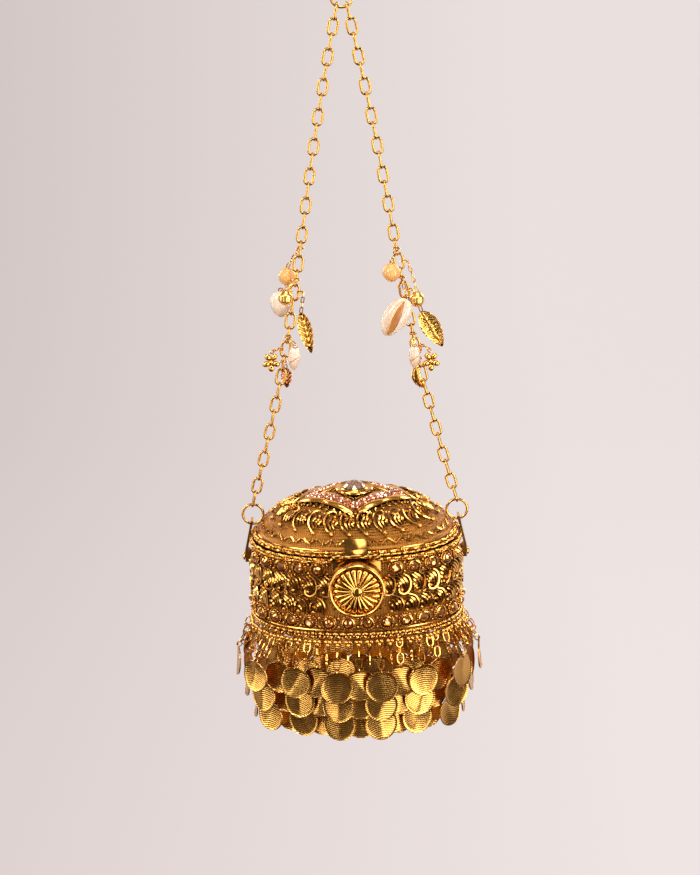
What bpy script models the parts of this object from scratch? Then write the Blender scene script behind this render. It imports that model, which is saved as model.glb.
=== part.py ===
# Potli bag: a hard gold metal bag on a chain handle, with an oval drum body, a domed lid on a rear
# hinge, a round button clasp on a front flap, charms on the chain and a skirt of small discs.
# Metres, +Z up, the front towards -Y. The origin is the top of the hole in the ring it hangs from.
import math

import bmesh
import bpy
from mathutils import Matrix, Vector

for old in list(bpy.data.objects):
    bpy.data.objects.remove(old, do_unlink=True)

MM = 0.001
GAP = 0.3 * MM  # running clearance between pieces that touch on the real bag

# Plan and heights
HANG_TO_RIM = 265.0 * MM
PLAN_POWER = 2.3
BODY_HALF_WIDTH = 50.6 * MM
BODY_HALF_DEPTH = 34.6 * MM
BODY_HEIGHT = 41.0 * MM
WALL = 1.2 * MM
LID_HALF_WIDTH = 49.0 * MM
LID_HALF_DEPTH = 33.8 * MM
LID_RISE = 21.6 * MM
LID_BAND = 3.0 * MM
LID_FULLNESS = 0.82
COLUMNS = 28
RELIEF = 1.3 * MM
STONE_RELIEF = 2.2 * MM
BASE_THICKNESS = 1.2 * MM
BASE_RECESS = 1.0 * MM

# Crest setting
DISH_RADIUS = 9.2 * MM
DISH_HEIGHT = 1.6 * MM
STONE_RADIUS = 5.4 * MM
STONE_HEIGHT = 3.0 * MM

# Clasp
CLASP_PIN_RADIUS = 0.6 * MM
CLASP_KNUCKLE_RADIUS = 1.5 * MM
CLASP_PIN_ABOVE_RIM = 2.0 * MM
KEEPER_RADIUS = 6.0 * MM
KEEPER_THICKNESS = 0.8 * MM
MAGNET_RADIUS = 5.0 * MM
MAGNET_THICKNESS = 0.9 * MM
FLAP_WIDTH = 23.0 * MM
FLAP_THICKNESS = 1.0 * MM
FLAP_LENGTH = 25.0 * MM
LEAF_WIDTH = 11.2 * MM
LEAF_HALF = 5.4 * MM  # the lid's knuckle, between the flap's two
BUTTON_RADIUS = 13.7 * MM
BUTTON_WALL = 7.4 * MM
BUTTON_NECK = 1.1 * MM
BUTTON_NECK_RADIUS = 8.0 * MM
BUTTON_BELOW_RIM = 12.4 * MM
FLUTES = 24

# Rear hinge
REAR_PIN_RADIUS = 0.6 * MM
REAR_KNUCKLE_RADIUS = 1.5 * MM
REAR_WIDTH = 22.0 * MM
REAR_LEAF_HEIGHT = 9.0 * MM
REAR_LEAF_THICKNESS = 0.8 * MM

# Lugs
LUG_THICKNESS = 1.2 * MM
LUG_WIDTH = 6.0 * MM
LUG_TOP_X = 50.1 * MM
LUG_FOOT_X = 53.4 * MM
LUG_FOOT_TOP = -7.0 * MM
LUG_FOOT_BOTTOM = -13.0 * MM
LUG_EYE_RADIUS = 1.5 * MM
LUG_EYE_SLACK = 0.5 * MM
LUG_CROWN = 1.1 * MM
RIVET_RADIUS = 1.0 * MM
RIVET_HEAD_RADIUS = 2.0 * MM
RIVET_HEAD_HEIGHT = 1.0 * MM

# Chain
WIRE = 1.1 * MM
LINK_LENGTH = 9.2 * MM
LINK_WIDTH = 5.3 * MM
LINK_BITE = 0.22 * MM  # how far links press into each other where they are fused
RING_WIRE = 1.3 * MM
RING_RADIUS = 5.0 * MM
RING_LIFT = 10.8 * MM
RING_X = 49.6 * MM
CHAIN_SAG_IN = 2.4 * MM
CHAIN_SAG_OUT = 1.5 * MM
TOP_RING_RADIUS = 5.0 * MM
TOP_LINK_X = 2.4 * MM

# Fringe
STRANDS_PER_GROUP = 3
GROUPS = 10
DISC_RADIUS = 8.0 * MM
DISC_THICKNESS = 0.6 * MM
DISC_SIDES = 8
DISC_TILT = math.radians(4.0)
DISC_STEP_OUT = 3.0 * MM  # groups lie alternately over and under their neighbours
TIERS = 3
TIER_PITCH = 11.8 * MM
TIER_TOP = 63.2 * MM  # rim down to the middle of the first row of discs
FRINGE_OUT = 5.8 * MM
FRINGE_DRAW_IN = 4.2 * MM
STRAND_WIRE = 1.0 * MM
STRAND_TOP_OUT = 0.1 * MM
FRINGE_PIVOT_BELOW_BODY = 0.95 * MM

# Charms
JUMP_RING_RADIUS = 1.75 * MM
JUMP_RING_WIRE = 0.7 * MM
JUMP_RING_OFFSET = 0.5 * MM
STEM_WIRE = 0.8 * MM
CHARM_PLATE = 0.8 * MM

RIM_Z = -HANG_TO_RIM
BODY_BOTTOM = RIM_Z - BODY_HEIGHT

bag = bpy.data.collections.new("potli_bag")
cutters = bpy.data.collections.new("cutters")
bpy.context.scene.collection.children.link(bag)
bpy.context.scene.collection.children.link(cutters)


def material(name, color, roughness, metallic):
    made = bpy.data.materials.new(name)
    made.use_nodes = True
    shader = made.node_tree.nodes["Principled BSDF"]
    shader.inputs["Base Color"].default_value = (*color, 1.0)
    shader.inputs["Roughness"].default_value = roughness
    shader.inputs["Metallic"].default_value = metallic
    return made


def gold(name):
    return material(name, (0.83, 0.56, 0.2), 0.3, 1.0)


def dark_gold(name):
    return material(name, (0.4, 0.27, 0.1), 0.25, 1.0)


def piece(name, mesh, mat, pivot=None):
    """A node: its mesh is given in world metres and moved so that the object's origin is its pivot."""
    obj = bpy.data.objects.new(name, mesh)
    bag.objects.link(obj)
    mesh.materials.clear()
    mesh.materials.append(mat)
    if pivot is not None:
        mesh.transform(Matrix.Translation(-Vector(pivot)))
        obj.location = pivot
    return obj


def helper(name, mesh):
    obj = bpy.data.objects.new(name, mesh)
    cutters.objects.link(obj)
    obj.hide_render = True
    obj.display_type = "WIRE"
    return obj


def boolean(obj, other, operation):
    modifier = obj.modifiers.new(operation.lower(), "BOOLEAN")
    modifier.operation = operation
    modifier.object = other
    modifier.solver = "EXACT"


def fused(name, meshes, mat, pivot=None):
    """One piece out of overlapping meshes, all in world metres."""
    obj = piece(name, meshes[0], mat, pivot)
    others = bpy.data.collections.new(name + "_parts")
    others.hide_render = True
    cutters.children.link(others)
    for index, mesh in enumerate(meshes[1:]):
        other = bpy.data.objects.new(f"{name}_part_{index + 1}", mesh)
        others.objects.link(other)
        other.hide_render = True
        other.display_type = "WIRE"
    modifier = obj.modifiers.new("union", "BOOLEAN")
    modifier.operation = "UNION"
    modifier.operand_type = "COLLECTION"
    modifier.collection = others
    modifier.solver = "EXACT"
    return obj


def mesh_from(bm, name):
    bmesh.ops.recalc_face_normals(bm, faces=bm.faces)
    mesh = bpy.data.meshes.new(name)
    bm.to_mesh(mesh)
    bm.free()
    return mesh


def add_mesh(bm, mesh, matrix):
    first = len(bm.verts)
    bm.from_mesh(mesh)
    bm.verts.ensure_lookup_table()
    bmesh.ops.transform(bm, matrix=matrix, verts=bm.verts[first:])


def frame(origin, x_axis, y_axis, z_axis):
    """The matrix that carries a shape made at the world origin to these axes."""
    turn = Matrix((x_axis, y_axis, z_axis)).transposed().to_4x4()
    return Matrix.Translation(origin) @ turn


def wire_mesh(points, thickness, cyclic, tilt=0.0):
    """A bent wire, made as a bevelled curve and turned into a welded mesh."""
    curve = bpy.data.curves.new("wire", "CURVE")
    curve.dimensions = "3D"
    curve.bevel_depth = thickness / 2
    curve.bevel_resolution = 0
    curve.use_fill_caps = True
    spline = curve.splines.new("POLY")
    spline.points.add(len(points) - 1)
    for point, place in zip(spline.points, points):
        point.co = (*place, 1.0)
        point.tilt = tilt
    spline.use_cyclic_u = cyclic
    obj = bpy.data.objects.new("wire", curve)
    bpy.context.scene.collection.objects.link(obj)
    graph = bpy.context.evaluated_depsgraph_get()
    mesh = bpy.data.meshes.new_from_object(obj.evaluated_get(graph))
    bpy.data.objects.remove(obj, do_unlink=True)
    bm = bmesh.new()
    bm.from_mesh(mesh)
    bmesh.ops.remove_doubles(bm, verts=bm.verts, dist=1e-7)
    bm.to_mesh(mesh)
    bm.free()
    return mesh


def add_cone(bm, matrix, segments, low_radius, high_radius, height):
    bmesh.ops.create_cone(
        bm,
        cap_ends=True,
        segments=segments,
        radius1=low_radius,
        radius2=high_radius,
        depth=height,
        matrix=matrix @ Matrix.Translation((0, 0, height / 2)),
    )


def add_box(bm, low, high):
    low = Vector(low)
    high = Vector(high)
    size = Matrix.Diagonal((*(high - low), 1.0))
    bmesh.ops.create_cube(bm, size=1.0, matrix=Matrix.Translation((low + high) / 2) @ size)


def oval(half_width, half_depth, angle):
    """A point of the plan outline, from the front middle counter-clockwise seen from above."""
    across = math.sin(angle)
    along = -math.cos(angle)
    power = 2 / PLAN_POWER
    x = math.copysign(abs(across) ** power, across) * half_width
    y = math.copysign(abs(along) ** power, along) * half_depth
    return Vector((x, y, 0.0))


def oval_walk(half_width, half_depth, count, shift=0.0):
    """Evenly spaced (point, outward direction) pairs round the plan, the first at the front middle."""
    samples = 1440
    points = [oval(half_width, half_depth, 2 * math.pi * i / samples) for i in range(samples + 1)]
    lengths = [0.0]
    for first, second in zip(points, points[1:]):
        lengths.append(lengths[-1] + (second - first).length)
    walk = []
    index = 0
    for step in range(count):
        wanted = lengths[-1] * (step + shift) / count
        while lengths[index + 1] < wanted:
            index += 1
        share = (wanted - lengths[index]) / (lengths[index + 1] - lengths[index])
        ahead = points[index + 1] - points[index]
        out = Vector((ahead.y, -ahead.x, 0.0)).normalized()
        walk.append((points[index] + ahead * share, out))
    return walk


def wall_grid(bm, rings, crown=None):
    """Quads between rings of points, and a fan to the crown. Returns the rows of faces."""
    rows = []
    verts = [[bm.verts.new(point) for point in ring] for ring in rings]
    for low, high in zip(verts, verts[1:]):
        row = []
        for i in range(len(low)):
            j = (i + 1) % len(low)
            row.append(bm.faces.new((low[i], low[j], high[j], high[i])))
        rows.append(row)
    if crown is not None:
        top = bm.verts.new(crown)
        for i in range(len(verts[-1])):
            bm.faces.new((verts[-1][i], verts[-1][(i + 1) % len(verts[-1])], top))
    return rows


def raise_cells(bm, faces, margin, height, lean=0.0):
    """Raises a flat-topped boss on each face. A lean slides its upper edge along the wall."""
    for face in faces:
        normal = face.normal.copy()
        bmesh.ops.inset_individual(bm, faces=[face], thickness=margin, depth=0.0)
        middle = face.calc_center_median()
        side = Vector((-normal.y, normal.x, 0.0)).normalized()
        mirrored = 1.0 if middle.x > 0 else -1.0
        for vert in face.verts:
            shift = side * lean * mirrored * (1.0 if vert.co.z > middle.z else -1.0)
            vert.co += normal * height + shift


def solidify(obj, thickness):
    modifier = obj.modifiers.new("wall", "SOLIDIFY")
    modifier.thickness = thickness
    modifier.offset = -1.0
    modifier.use_even_offset = False


# Body shell: an oval wall with rows of stones and plumes in relief, open at both ends


def clear_of_fittings(face):
    """True where no flap, hinge leaf or lug lies against the wall."""
    middle = face.calc_center_median()
    depth = RIM_Z - middle.z
    under_flap = middle.y < 0 and abs(middle.x) < FLAP_WIDTH * 0.75 and depth < FLAP_LENGTH
    under_leaf = middle.y > 0 and abs(middle.x) < REAR_WIDTH * 0.75 and depth < REAR_LEAF_HEIGHT * 1.3
    under_lug = abs(middle.y) < LUG_WIDTH * 1.2 and depth < 3 * MM - LUG_FOOT_BOTTOM
    return not (under_flap or under_leaf or under_lug)


def body_shell():
    levels = [0.0, 9.5, 18.5, 28.0, 38.0]
    edges = [level * MM for level in levels] + [BODY_HEIGHT]
    walk = oval_walk(BODY_HALF_WIDTH, BODY_HALF_DEPTH, COLUMNS, 0.5)
    rings = [[point + Vector((0, 0, RIM_Z - edge)) for point, _ in walk] for edge in reversed(edges)]
    bm = bmesh.new()
    rows = wall_grid(bm, rings)
    bm.normal_update()
    stone_rows = [rows[4], rows[1]]
    plume_rows = [rows[3], rows[2]]
    for row in stone_rows:
        raise_cells(bm, [f for f in row if clear_of_fittings(f)], 1.4 * MM, STONE_RELIEF)
    for row in plume_rows:
        raise_cells(bm, [f for f in row if clear_of_fittings(f)], 1.8 * MM, RELIEF, 1.6 * MM)
    mesh = bpy.data.meshes.new("body_shell")
    bm.to_mesh(mesh)
    bm.free()
    obj = piece("body_shell", mesh, gold("body gold"))
    solidify(obj, WALL)


def base_plate():
    inset = WALL + GAP
    walk = oval_walk(BODY_HALF_WIDTH - inset, BODY_HALF_DEPTH - inset, COLUMNS, 0.5)
    bm = bmesh.new()
    low = BODY_BOTTOM + BASE_RECESS
    face = bm.faces.new([bm.verts.new(point + Vector((0, 0, low))) for point, _ in walk])
    made = bmesh.ops.extrude_face_region(bm, geom=[face])
    for vert in [v for v in made["geom"] if isinstance(v, bmesh.types.BMVert)]:
        vert.co.z += BASE_THICKNESS
    piece("base_plate", mesh_from(bm, "base_plate"), dark_gold("base gold"))


# Lid


def lid_height(share):
    """Height of the lid's outer surface above its rim, at a share of the plan's size."""
    inner = min(share / 0.975, 1.0)
    return LID_BAND + (LID_RISE - LID_BAND) * (1 - inner ** 2) ** LID_FULLNESS


def lid_point(point, share):
    height = lid_height(share) if share < 0.99 else 0.0
    return Vector((point.x * share, point.y * share, RIM_Z + GAP + height))


def lid_clear(face):
    middle = face.calc_center_median()
    under_leaf = middle.y < 0 and abs(middle.x) < LEAF_WIDTH
    near_ring = abs(middle.x) > RING_X - RING_RADIUS * 2 and abs(middle.y) < LUG_WIDTH * 1.5
    return not (under_leaf or near_ring)


def lid_shell():
    walk = oval_walk(LID_HALF_WIDTH, LID_HALF_DEPTH, COLUMNS, 0.5)
    shares = [1.0, 0.975, 0.86, 0.56, 0.25]
    rings = [[lid_point(point, share) for point, _ in walk] for share in shares]
    bm = bmesh.new()
    rows = wall_grid(bm, rings, (0, 0, RIM_Z + GAP + lid_height(0.0)))
    bm.normal_update()
    raise_cells(bm, [f for f in rows[2] if lid_clear(f)], 1.5 * MM, RELIEF, 1.4 * MM)
    raise_cells(bm, [f for f in rows[3] if abs(f.calc_center_median().x) > 12 * MM], 1.1 * MM, RELIEF)
    mesh = bpy.data.meshes.new("lid_shell")
    bm.to_mesh(mesh)
    bm.free()
    obj = piece("lid_shell", mesh, gold("lid gold"), REAR_PIVOT)
    solidify(obj, WALL)


def crest_setting():
    """The plain dish on the crest and the pointed stone in it."""
    seat = RIM_Z + GAP + lid_height(0.0) + GAP
    bm = bmesh.new()
    add_cone(bm, Matrix.Translation((0, 0, seat)), 20, DISH_RADIUS * 0.9, DISH_RADIUS, DISH_HEIGHT)
    piece("crest_dish", mesh_from(bm, "crest_dish"), gold("dish gold"), REAR_PIVOT)
    low = seat + DISH_HEIGHT + GAP
    bm = bmesh.new()
    add_cone(bm, Matrix.Translation((0, 0, low)), 12, STONE_RADIUS, 0.8 * MM, STONE_HEIGHT)
    stone = material("champagne stone", (0.75, 0.45, 0.25), 0.05, 0.0)
    piece("crest_stone", mesh_from(bm, "crest_stone"), stone, REAR_PIVOT)


# Hinges: leaves are outlines in the YZ plane drawn out along X, with a knuckle bored for the pin


def drawn_outline(name, points, low_x, high_x):
    bm = bmesh.new()
    face = bm.faces.new([bm.verts.new((low_x, y, z)) for y, z in points])
    made = bmesh.ops.extrude_face_region(bm, geom=[face])
    for vert in [v for v in made["geom"] if isinstance(v, bmesh.types.BMVert)]:
        vert.co.x = high_x
    return mesh_from(bm, name)


def x_cylinder(center, radius, low_x, high_x, segments=12):
    bm = bmesh.new()
    turn = frame(Vector((low_x, center[0], center[1])), (0, 1, 0), (0, 0, 1), (1, 0, 0))
    add_cone(bm, turn, segments, radius, radius, high_x - low_x)
    return mesh_from(bm, "x_cylinder")


def leaf(name, plate_points, width, center, knuckle_radius, pin_radius, outer, mat, pivot, middle=None):
    """A hinge leaf. Its knuckle is the middle, a third wide unless given, or with outer set, the two ends."""
    third = width / 6 if middle is None else middle
    obj = piece(name, drawn_outline(name, plate_points, -width / 2, width / 2), mat)
    barrel = helper(name + "_barrel", x_cylinder(center, knuckle_radius, -width / 2, width / 2))
    boolean(obj, barrel, "UNION")
    bore_radius = pin_radius + 0.1 * MM
    past = width / 2 + MM
    bore = helper(name + "_bore", x_cylinder(center, bore_radius, -past, past))
    boolean(obj, bore, "DIFFERENCE")
    reach = knuckle_radius + 2 * GAP
    spans = [(-third - GAP, third + GAP)] if outer else [(-past, -third), (third, past)]
    bm = bmesh.new()
    for low_x, high_x in spans:
        low = (low_x, center[0] - reach, center[1] - reach)
        high = (high_x, center[0] + reach, center[1] + reach)
        add_box(bm, low, high)
    boolean(obj, helper(name + "_gap", mesh_from(bm, name + "_gap")), "DIFFERENCE")
    if pivot is not None:
        obj.data.transform(Matrix.Translation(-Vector(pivot)))
        obj.location = pivot
    return obj


REAR_Y = BODY_HALF_DEPTH + GAP + REAR_LEAF_THICKNESS + REAR_PIN_RADIUS
REAR_PIVOT = (0.0, REAR_Y, RIM_Z)
KEEPER_Y = -BODY_HALF_DEPTH - GAP
MAGNET_Y = KEEPER_Y - KEEPER_THICKNESS - GAP
FLAP_Y = MAGNET_Y - MAGNET_THICKNESS - GAP
CLASP_PIVOT = (0.0, FLAP_Y - FLAP_THICKNESS / 2, RIM_Z + CLASP_PIN_ABOVE_RIM)


def rear_hinge():
    center = (REAR_Y, RIM_Z)
    near = BODY_HALF_DEPTH + GAP
    far = near + REAR_LEAF_THICKNESS
    low = RIM_Z - REAR_LEAF_HEIGHT
    body_plate = [(near, low), (far, low), (far, RIM_Z), (near, RIM_Z)]
    fitting = dark_gold("hinge gold")
    size = (REAR_WIDTH, center, REAR_KNUCKLE_RADIUS, REAR_PIN_RADIUS)
    leaf("hinge_body_leaf", body_plate, *size, True, fitting, None)
    top = RIM_Z + LID_BAND + GAP
    lid_plate = [(near, RIM_Z), (far, RIM_Z), (far, top), (near, top)]
    leaf("hinge_lid_leaf", lid_plate, *size, False, fitting, REAR_PIVOT)
    half = REAR_WIDTH / 2 - GAP
    pin = x_cylinder(center, REAR_PIN_RADIUS, -half, half)
    piece("hinge_pin", pin, material("steel pin", (0.6, 0.55, 0.45), 0.25, 1.0))


def clasp():
    center = (CLASP_PIVOT[1], CLASP_PIVOT[2])
    fitting = dark_gold("clasp gold")
    back = FLAP_Y
    front = FLAP_Y - FLAP_THICKNESS
    low = RIM_Z - FLAP_LENGTH
    flap_plate = [(front, low), (back, low), (back, center[1]), (front, center[1])]
    size = (CLASP_KNUCKLE_RADIUS, CLASP_PIN_RADIUS)
    leaf("clasp_flap", flap_plate, FLAP_WIDTH, center, *size, True, fitting, CLASP_PIVOT, LEAF_HALF + GAP)
    # The lid's leaf runs up from the pin and back on to the lid's band
    share = 0.9
    lid_y = -LID_HALF_DEPTH * share - GAP
    lid_z = RIM_Z + GAP + lid_height(share) + GAP
    foot_y = -LID_HALF_DEPTH - GAP
    foot_z = RIM_Z + GAP + LID_BAND
    knee = (foot_y - GAP, foot_z + 0.2 * MM)
    lid_plate = [
        (center[0] - 0.5 * MM, center[1]),
        (center[0] + 0.5 * MM, center[1]),
        knee,
        (lid_y, lid_z),
        (lid_y - 0.4 * MM, lid_z + 1.0 * MM),
        (knee[0] - 0.8 * MM, knee[1] + 1.0 * MM),
    ]
    plate = drawn_outline("clasp_lid_leaf", lid_plate, -LEAF_HALF, LEAF_HALF)
    made = piece("clasp_lid_leaf", plate, fitting)
    barrel = x_cylinder(center, CLASP_KNUCKLE_RADIUS, -LEAF_HALF, LEAF_HALF)
    boolean(made, helper("clasp_lid_barrel", barrel), "UNION")
    bore = x_cylinder(center, CLASP_PIN_RADIUS + 0.1 * MM, -LEAF_WIDTH, LEAF_WIDTH)
    boolean(made, helper("clasp_lid_bore", bore), "DIFFERENCE")
    made.data.transform(Matrix.Translation(-Vector(REAR_PIVOT)))
    made.location = REAR_PIVOT
    half = FLAP_WIDTH / 2 - GAP
    pin = x_cylinder(center, CLASP_PIN_RADIUS, -half, half)
    piece("clasp_pin", pin, material("clasp pin steel", (0.6, 0.5, 0.3), 0.25, 1.0), REAR_PIVOT)


def facing_front(y, z):
    """The frame of a disc that lies against the front, its axis towards the viewer."""
    return frame(Vector((0, y, z)), (1, 0, 0), (0, 0, 1), (0, -1, 0))


def clasp_discs():
    z = RIM_Z - BUTTON_BELOW_RIM
    bm = bmesh.new()
    add_cone(bm, facing_front(KEEPER_Y, z), 16, KEEPER_RADIUS, KEEPER_RADIUS, KEEPER_THICKNESS)
    steel = material("keeper steel", (0.55, 0.5, 0.42), 0.35, 1.0)
    piece("clasp_keeper", mesh_from(bm, "clasp_keeper"), steel)
    bm = bmesh.new()
    add_cone(bm, facing_front(MAGNET_Y, z), 16, MAGNET_RADIUS, MAGNET_RADIUS, MAGNET_THICKNESS)
    magnet = material("magnet", (0.5, 0.48, 0.45), 0.4, 1.0)
    piece("clasp_magnet", mesh_from(bm, "clasp_magnet"), magnet, CLASP_PIVOT)


def clasp_button():
    """A thick button with a rounded outer ring and a dome of raised flutes round a small hub."""
    z = RIM_Z - BUTTON_BELOW_RIM
    y = FLAP_Y - FLAP_THICKNESS - GAP
    place = facing_front(y, z)
    columns = 2 * FLUTES
    full = BUTTON_NECK + BUTTON_WALL
    # Radius, height and how far alternate columns are raised into flutes
    profile = [
        (BUTTON_NECK_RADIUS, 0.0, 0.0),
        (BUTTON_NECK_RADIUS, BUTTON_NECK, 0.0),
        (BUTTON_RADIUS, BUTTON_NECK, 0.0),
        (BUTTON_RADIUS, full - 1.2 * MM, 0.0),
        (BUTTON_RADIUS - 0.9 * MM, full, 0.0),
        (BUTTON_RADIUS - 2.2 * MM, full - 1.4 * MM, 0.4 * MM),
        (BUTTON_RADIUS * 0.55, full - 0.4 * MM, 0.9 * MM),
        (1.6 * MM, full, 0.0),
    ]
    bm = bmesh.new()
    rings = []
    for radius, height, flute in profile:
        ring = []
        for i in range(columns):
            angle = 2 * math.pi * i / columns
            lift = flute if i % 2 == 0 else -flute
            ring.append(place @ Vector((radius * math.cos(angle), radius * math.sin(angle), height + lift)))
        rings.append(ring)
    wall_grid(bm, rings, place @ Vector((0, 0, full + 0.4 * MM)))
    bmesh.ops.contextual_create(bm, geom=[e for e in bm.edges if e.is_boundary])
    piece("clasp_button", mesh_from(bm, "clasp_button"), gold("button gold"), CLASP_PIVOT)


# Lugs and rivets at the two ends


def lug(side, mirrored):
    name = "lug_" + side
    half = LUG_THICKNESS / 2
    eye_z = RING_LIFT - RING_RADIUS + RING_WIRE / 2 + LUG_EYE_SLACK - LUG_EYE_RADIUS
    top_z = eye_z + LUG_EYE_RADIUS + LUG_CROWN
    wall = BODY_HALF_WIDTH + GAP
    outline = [
        (LUG_TOP_X - half, top_z),
        (LUG_TOP_X + half, top_z),
        (LUG_FOOT_X + half, LUG_FOOT_TOP),
        (LUG_FOOT_X + half, LUG_FOOT_BOTTOM),
        (wall, LUG_FOOT_BOTTOM),
        (wall, LUG_FOOT_TOP - 2 * MM),
        (LUG_FOOT_X - half, LUG_FOOT_TOP),
    ]
    bm = bmesh.new()
    points = [(mirrored * x, -LUG_WIDTH / 2, RIM_Z + z) for x, z in outline]
    face = bm.faces.new([bm.verts.new(point) for point in points])
    made = bmesh.ops.extrude_face_region(bm, geom=[face])
    for vert in [v for v in made["geom"] if isinstance(v, bmesh.types.BMVert)]:
        vert.co.y = LUG_WIDTH / 2
    obj = piece(name, mesh_from(bm, name), gold(name + " gold"))
    bm = bmesh.new()
    rivet_z = RIM_Z + (LUG_FOOT_TOP + LUG_FOOT_BOTTOM) / 2 - MM
    low_x = min(mirrored * 45 * MM, mirrored * 60 * MM)
    for height, radius in ((RIM_Z + eye_z, LUG_EYE_RADIUS), (rivet_z, RIVET_RADIUS + GAP)):
        turn = frame(Vector((low_x, 0, height)), (0, 1, 0), (0, 0, 1), (1, 0, 0))
        add_cone(bm, turn, 10, radius, radius, 15 * MM)
    boolean(obj, helper(name + "_holes", mesh_from(bm, name + "_holes")), "DIFFERENCE")
    bm = bmesh.new()
    face_x = LUG_FOOT_X + half + GAP
    out = frame(Vector((mirrored * wall, 0, rivet_z)), (0, mirrored, 0), (0, 0, 1), (mirrored, 0, 0))
    profile = [
        (RIVET_RADIUS, 0.0),
        (RIVET_RADIUS, face_x - wall),
        (RIVET_HEAD_RADIUS, face_x - wall),
        (RIVET_HEAD_RADIUS * 0.6, face_x - wall + RIVET_HEAD_HEIGHT),
    ]
    rings = []
    for radius, height in profile:
        spokes = [2 * math.pi * i / 10 for i in range(10)]
        rings.append([out @ Vector((radius * math.cos(a), radius * math.sin(a), height)) for a in spokes])
    wall_grid(bm, rings)
    bmesh.ops.holes_fill(bm, edges=bm.edges, sides=0)
    piece("rivet_" + side, mesh_from(bm, "rivet_" + side), dark_gold("rivet gold"))


# Chain handle


def link_mesh(length, width):
    """One oval link of square-cornered wire, standing along Z in the XZ plane."""
    half_long = (length - WIRE) / 2
    half_wide = (width - WIRE) / 2
    straight = half_long - half_wide * 0.75
    points = [
        (half_wide, 0, -straight),
        (half_wide, 0, straight),
        (0, 0, half_long),
        (-half_wide, 0, straight),
        (-half_wide, 0, -straight),
        (0, 0, -half_long),
    ]
    return wire_mesh(points, WIRE * 1.2, True, math.radians(45))


def ring_mesh(radius, thickness, points):
    spokes = [2 * math.pi * i / points for i in range(points)]
    loop = [(radius * math.sin(a), 0, -radius * math.cos(a)) for a in spokes]
    return wire_mesh(loop, thickness * 1.1, True, math.radians(45))


def chain_path(mirrored):
    """Closely spaced points down one side, from the top ring's wire to the bag ring's."""
    top_ring_z = -(TOP_RING_RADIUS - RING_WIRE / 2)
    drop = math.sqrt(TOP_RING_RADIUS**2 - TOP_LINK_X**2)
    start = Vector((TOP_LINK_X, 0, top_ring_z - drop))
    end = Vector((RING_X, 0, RIM_Z + RING_LIFT + RING_RADIUS))
    ahead = (end - start).normalized()
    held = RING_WIRE / 2 + WIRE / 2
    start -= ahead * (held + GAP)
    end += ahead * (held - LINK_BITE)
    path = []
    for i in range(401):
        share = i / 400
        sag = CHAIN_SAG_OUT * math.sin(2 * math.pi * share) - CHAIN_SAG_IN * math.sin(math.pi * share)
        point = start.lerp(end, share)
        path.append(Vector((mirrored * (point.x + sag), 0, point.z)))
    return path


def along_path(path, distance):
    for first, second in zip(path, path[1:]):
        step = (second - first).length
        if distance <= step:
            return first.lerp(second, distance / step)
        distance -= step
    return path[-1]


def chain_links(mirrored):
    """The (middle, direction) of each link of one side, and the links' length."""
    path = chain_path(mirrored)
    total = sum((b - a).length for a, b in zip(path, path[1:]))
    nested = WIRE - LINK_BITE
    wanted = LINK_LENGTH - WIRE - nested
    count = 2 * round((total - nested) / wanted / 2 - 0.5) + 1
    pitch = (total - nested) / count
    span = pitch + nested
    ends = [(along_path(path, pitch * i), along_path(path, pitch * i + span)) for i in range(count)]
    links = [((low + high) / 2, (high - low).normalized()) for low, high in ends]
    return links, span + WIRE


def link_frame(center, ahead, index):
    """Links stand alternately edge-on and face-on, and the first and last stand edge-on."""
    across = Vector((ahead.z, 0, -ahead.x)).normalized()
    front = Vector((0, 1, 0))
    if index % 2 == 0:
        return frame(center, front, -across, ahead)
    return frame(center, across, front, ahead)


def chain_side(side, mirrored):
    links, length = chain_links(mirrored)
    link = link_mesh(length, LINK_WIDTH)
    both = [bmesh.new(), bmesh.new()]
    for index, (center, ahead) in enumerate(links):
        add_mesh(both[index % 2], link, link_frame(center, ahead, index))
    ring_center = Vector((mirrored * RING_X, 0, RIM_Z + RING_LIFT))
    add_mesh(both[1], ring_mesh(RING_RADIUS, RING_WIRE, 14), Matrix.Translation(ring_center))
    name = "chain_" + side
    fused(name, [mesh_from(both[0], name), mesh_from(both[1], name + "_odd")], gold(name + " gold"))


def top_ring():
    mesh = ring_mesh(TOP_RING_RADIUS, RING_WIRE, 14)
    mesh.transform(Matrix.Translation((0, 0, -(TOP_RING_RADIUS - RING_WIRE / 2))))
    piece("top_ring", mesh, gold("top ring gold"))


# Fringe: groups of strands, each strand a wire that carries one disc in each row


def disc_mesh():
    bm = bmesh.new()
    place = Matrix.Translation((0, 0, -DISC_THICKNESS / 2))
    add_cone(bm, place, DISC_SIDES, DISC_RADIUS, DISC_RADIUS, DISC_THICKNESS)
    return mesh_from(bm, "disc")


def strand_level(index, group):
    """How far a strand stands out: the edges of a group lie over or under the next group's."""
    if index == 1:
        return 0.0
    return DISC_STEP_OUT if group % 2 == 0 else -DISC_STEP_OUT


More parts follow.
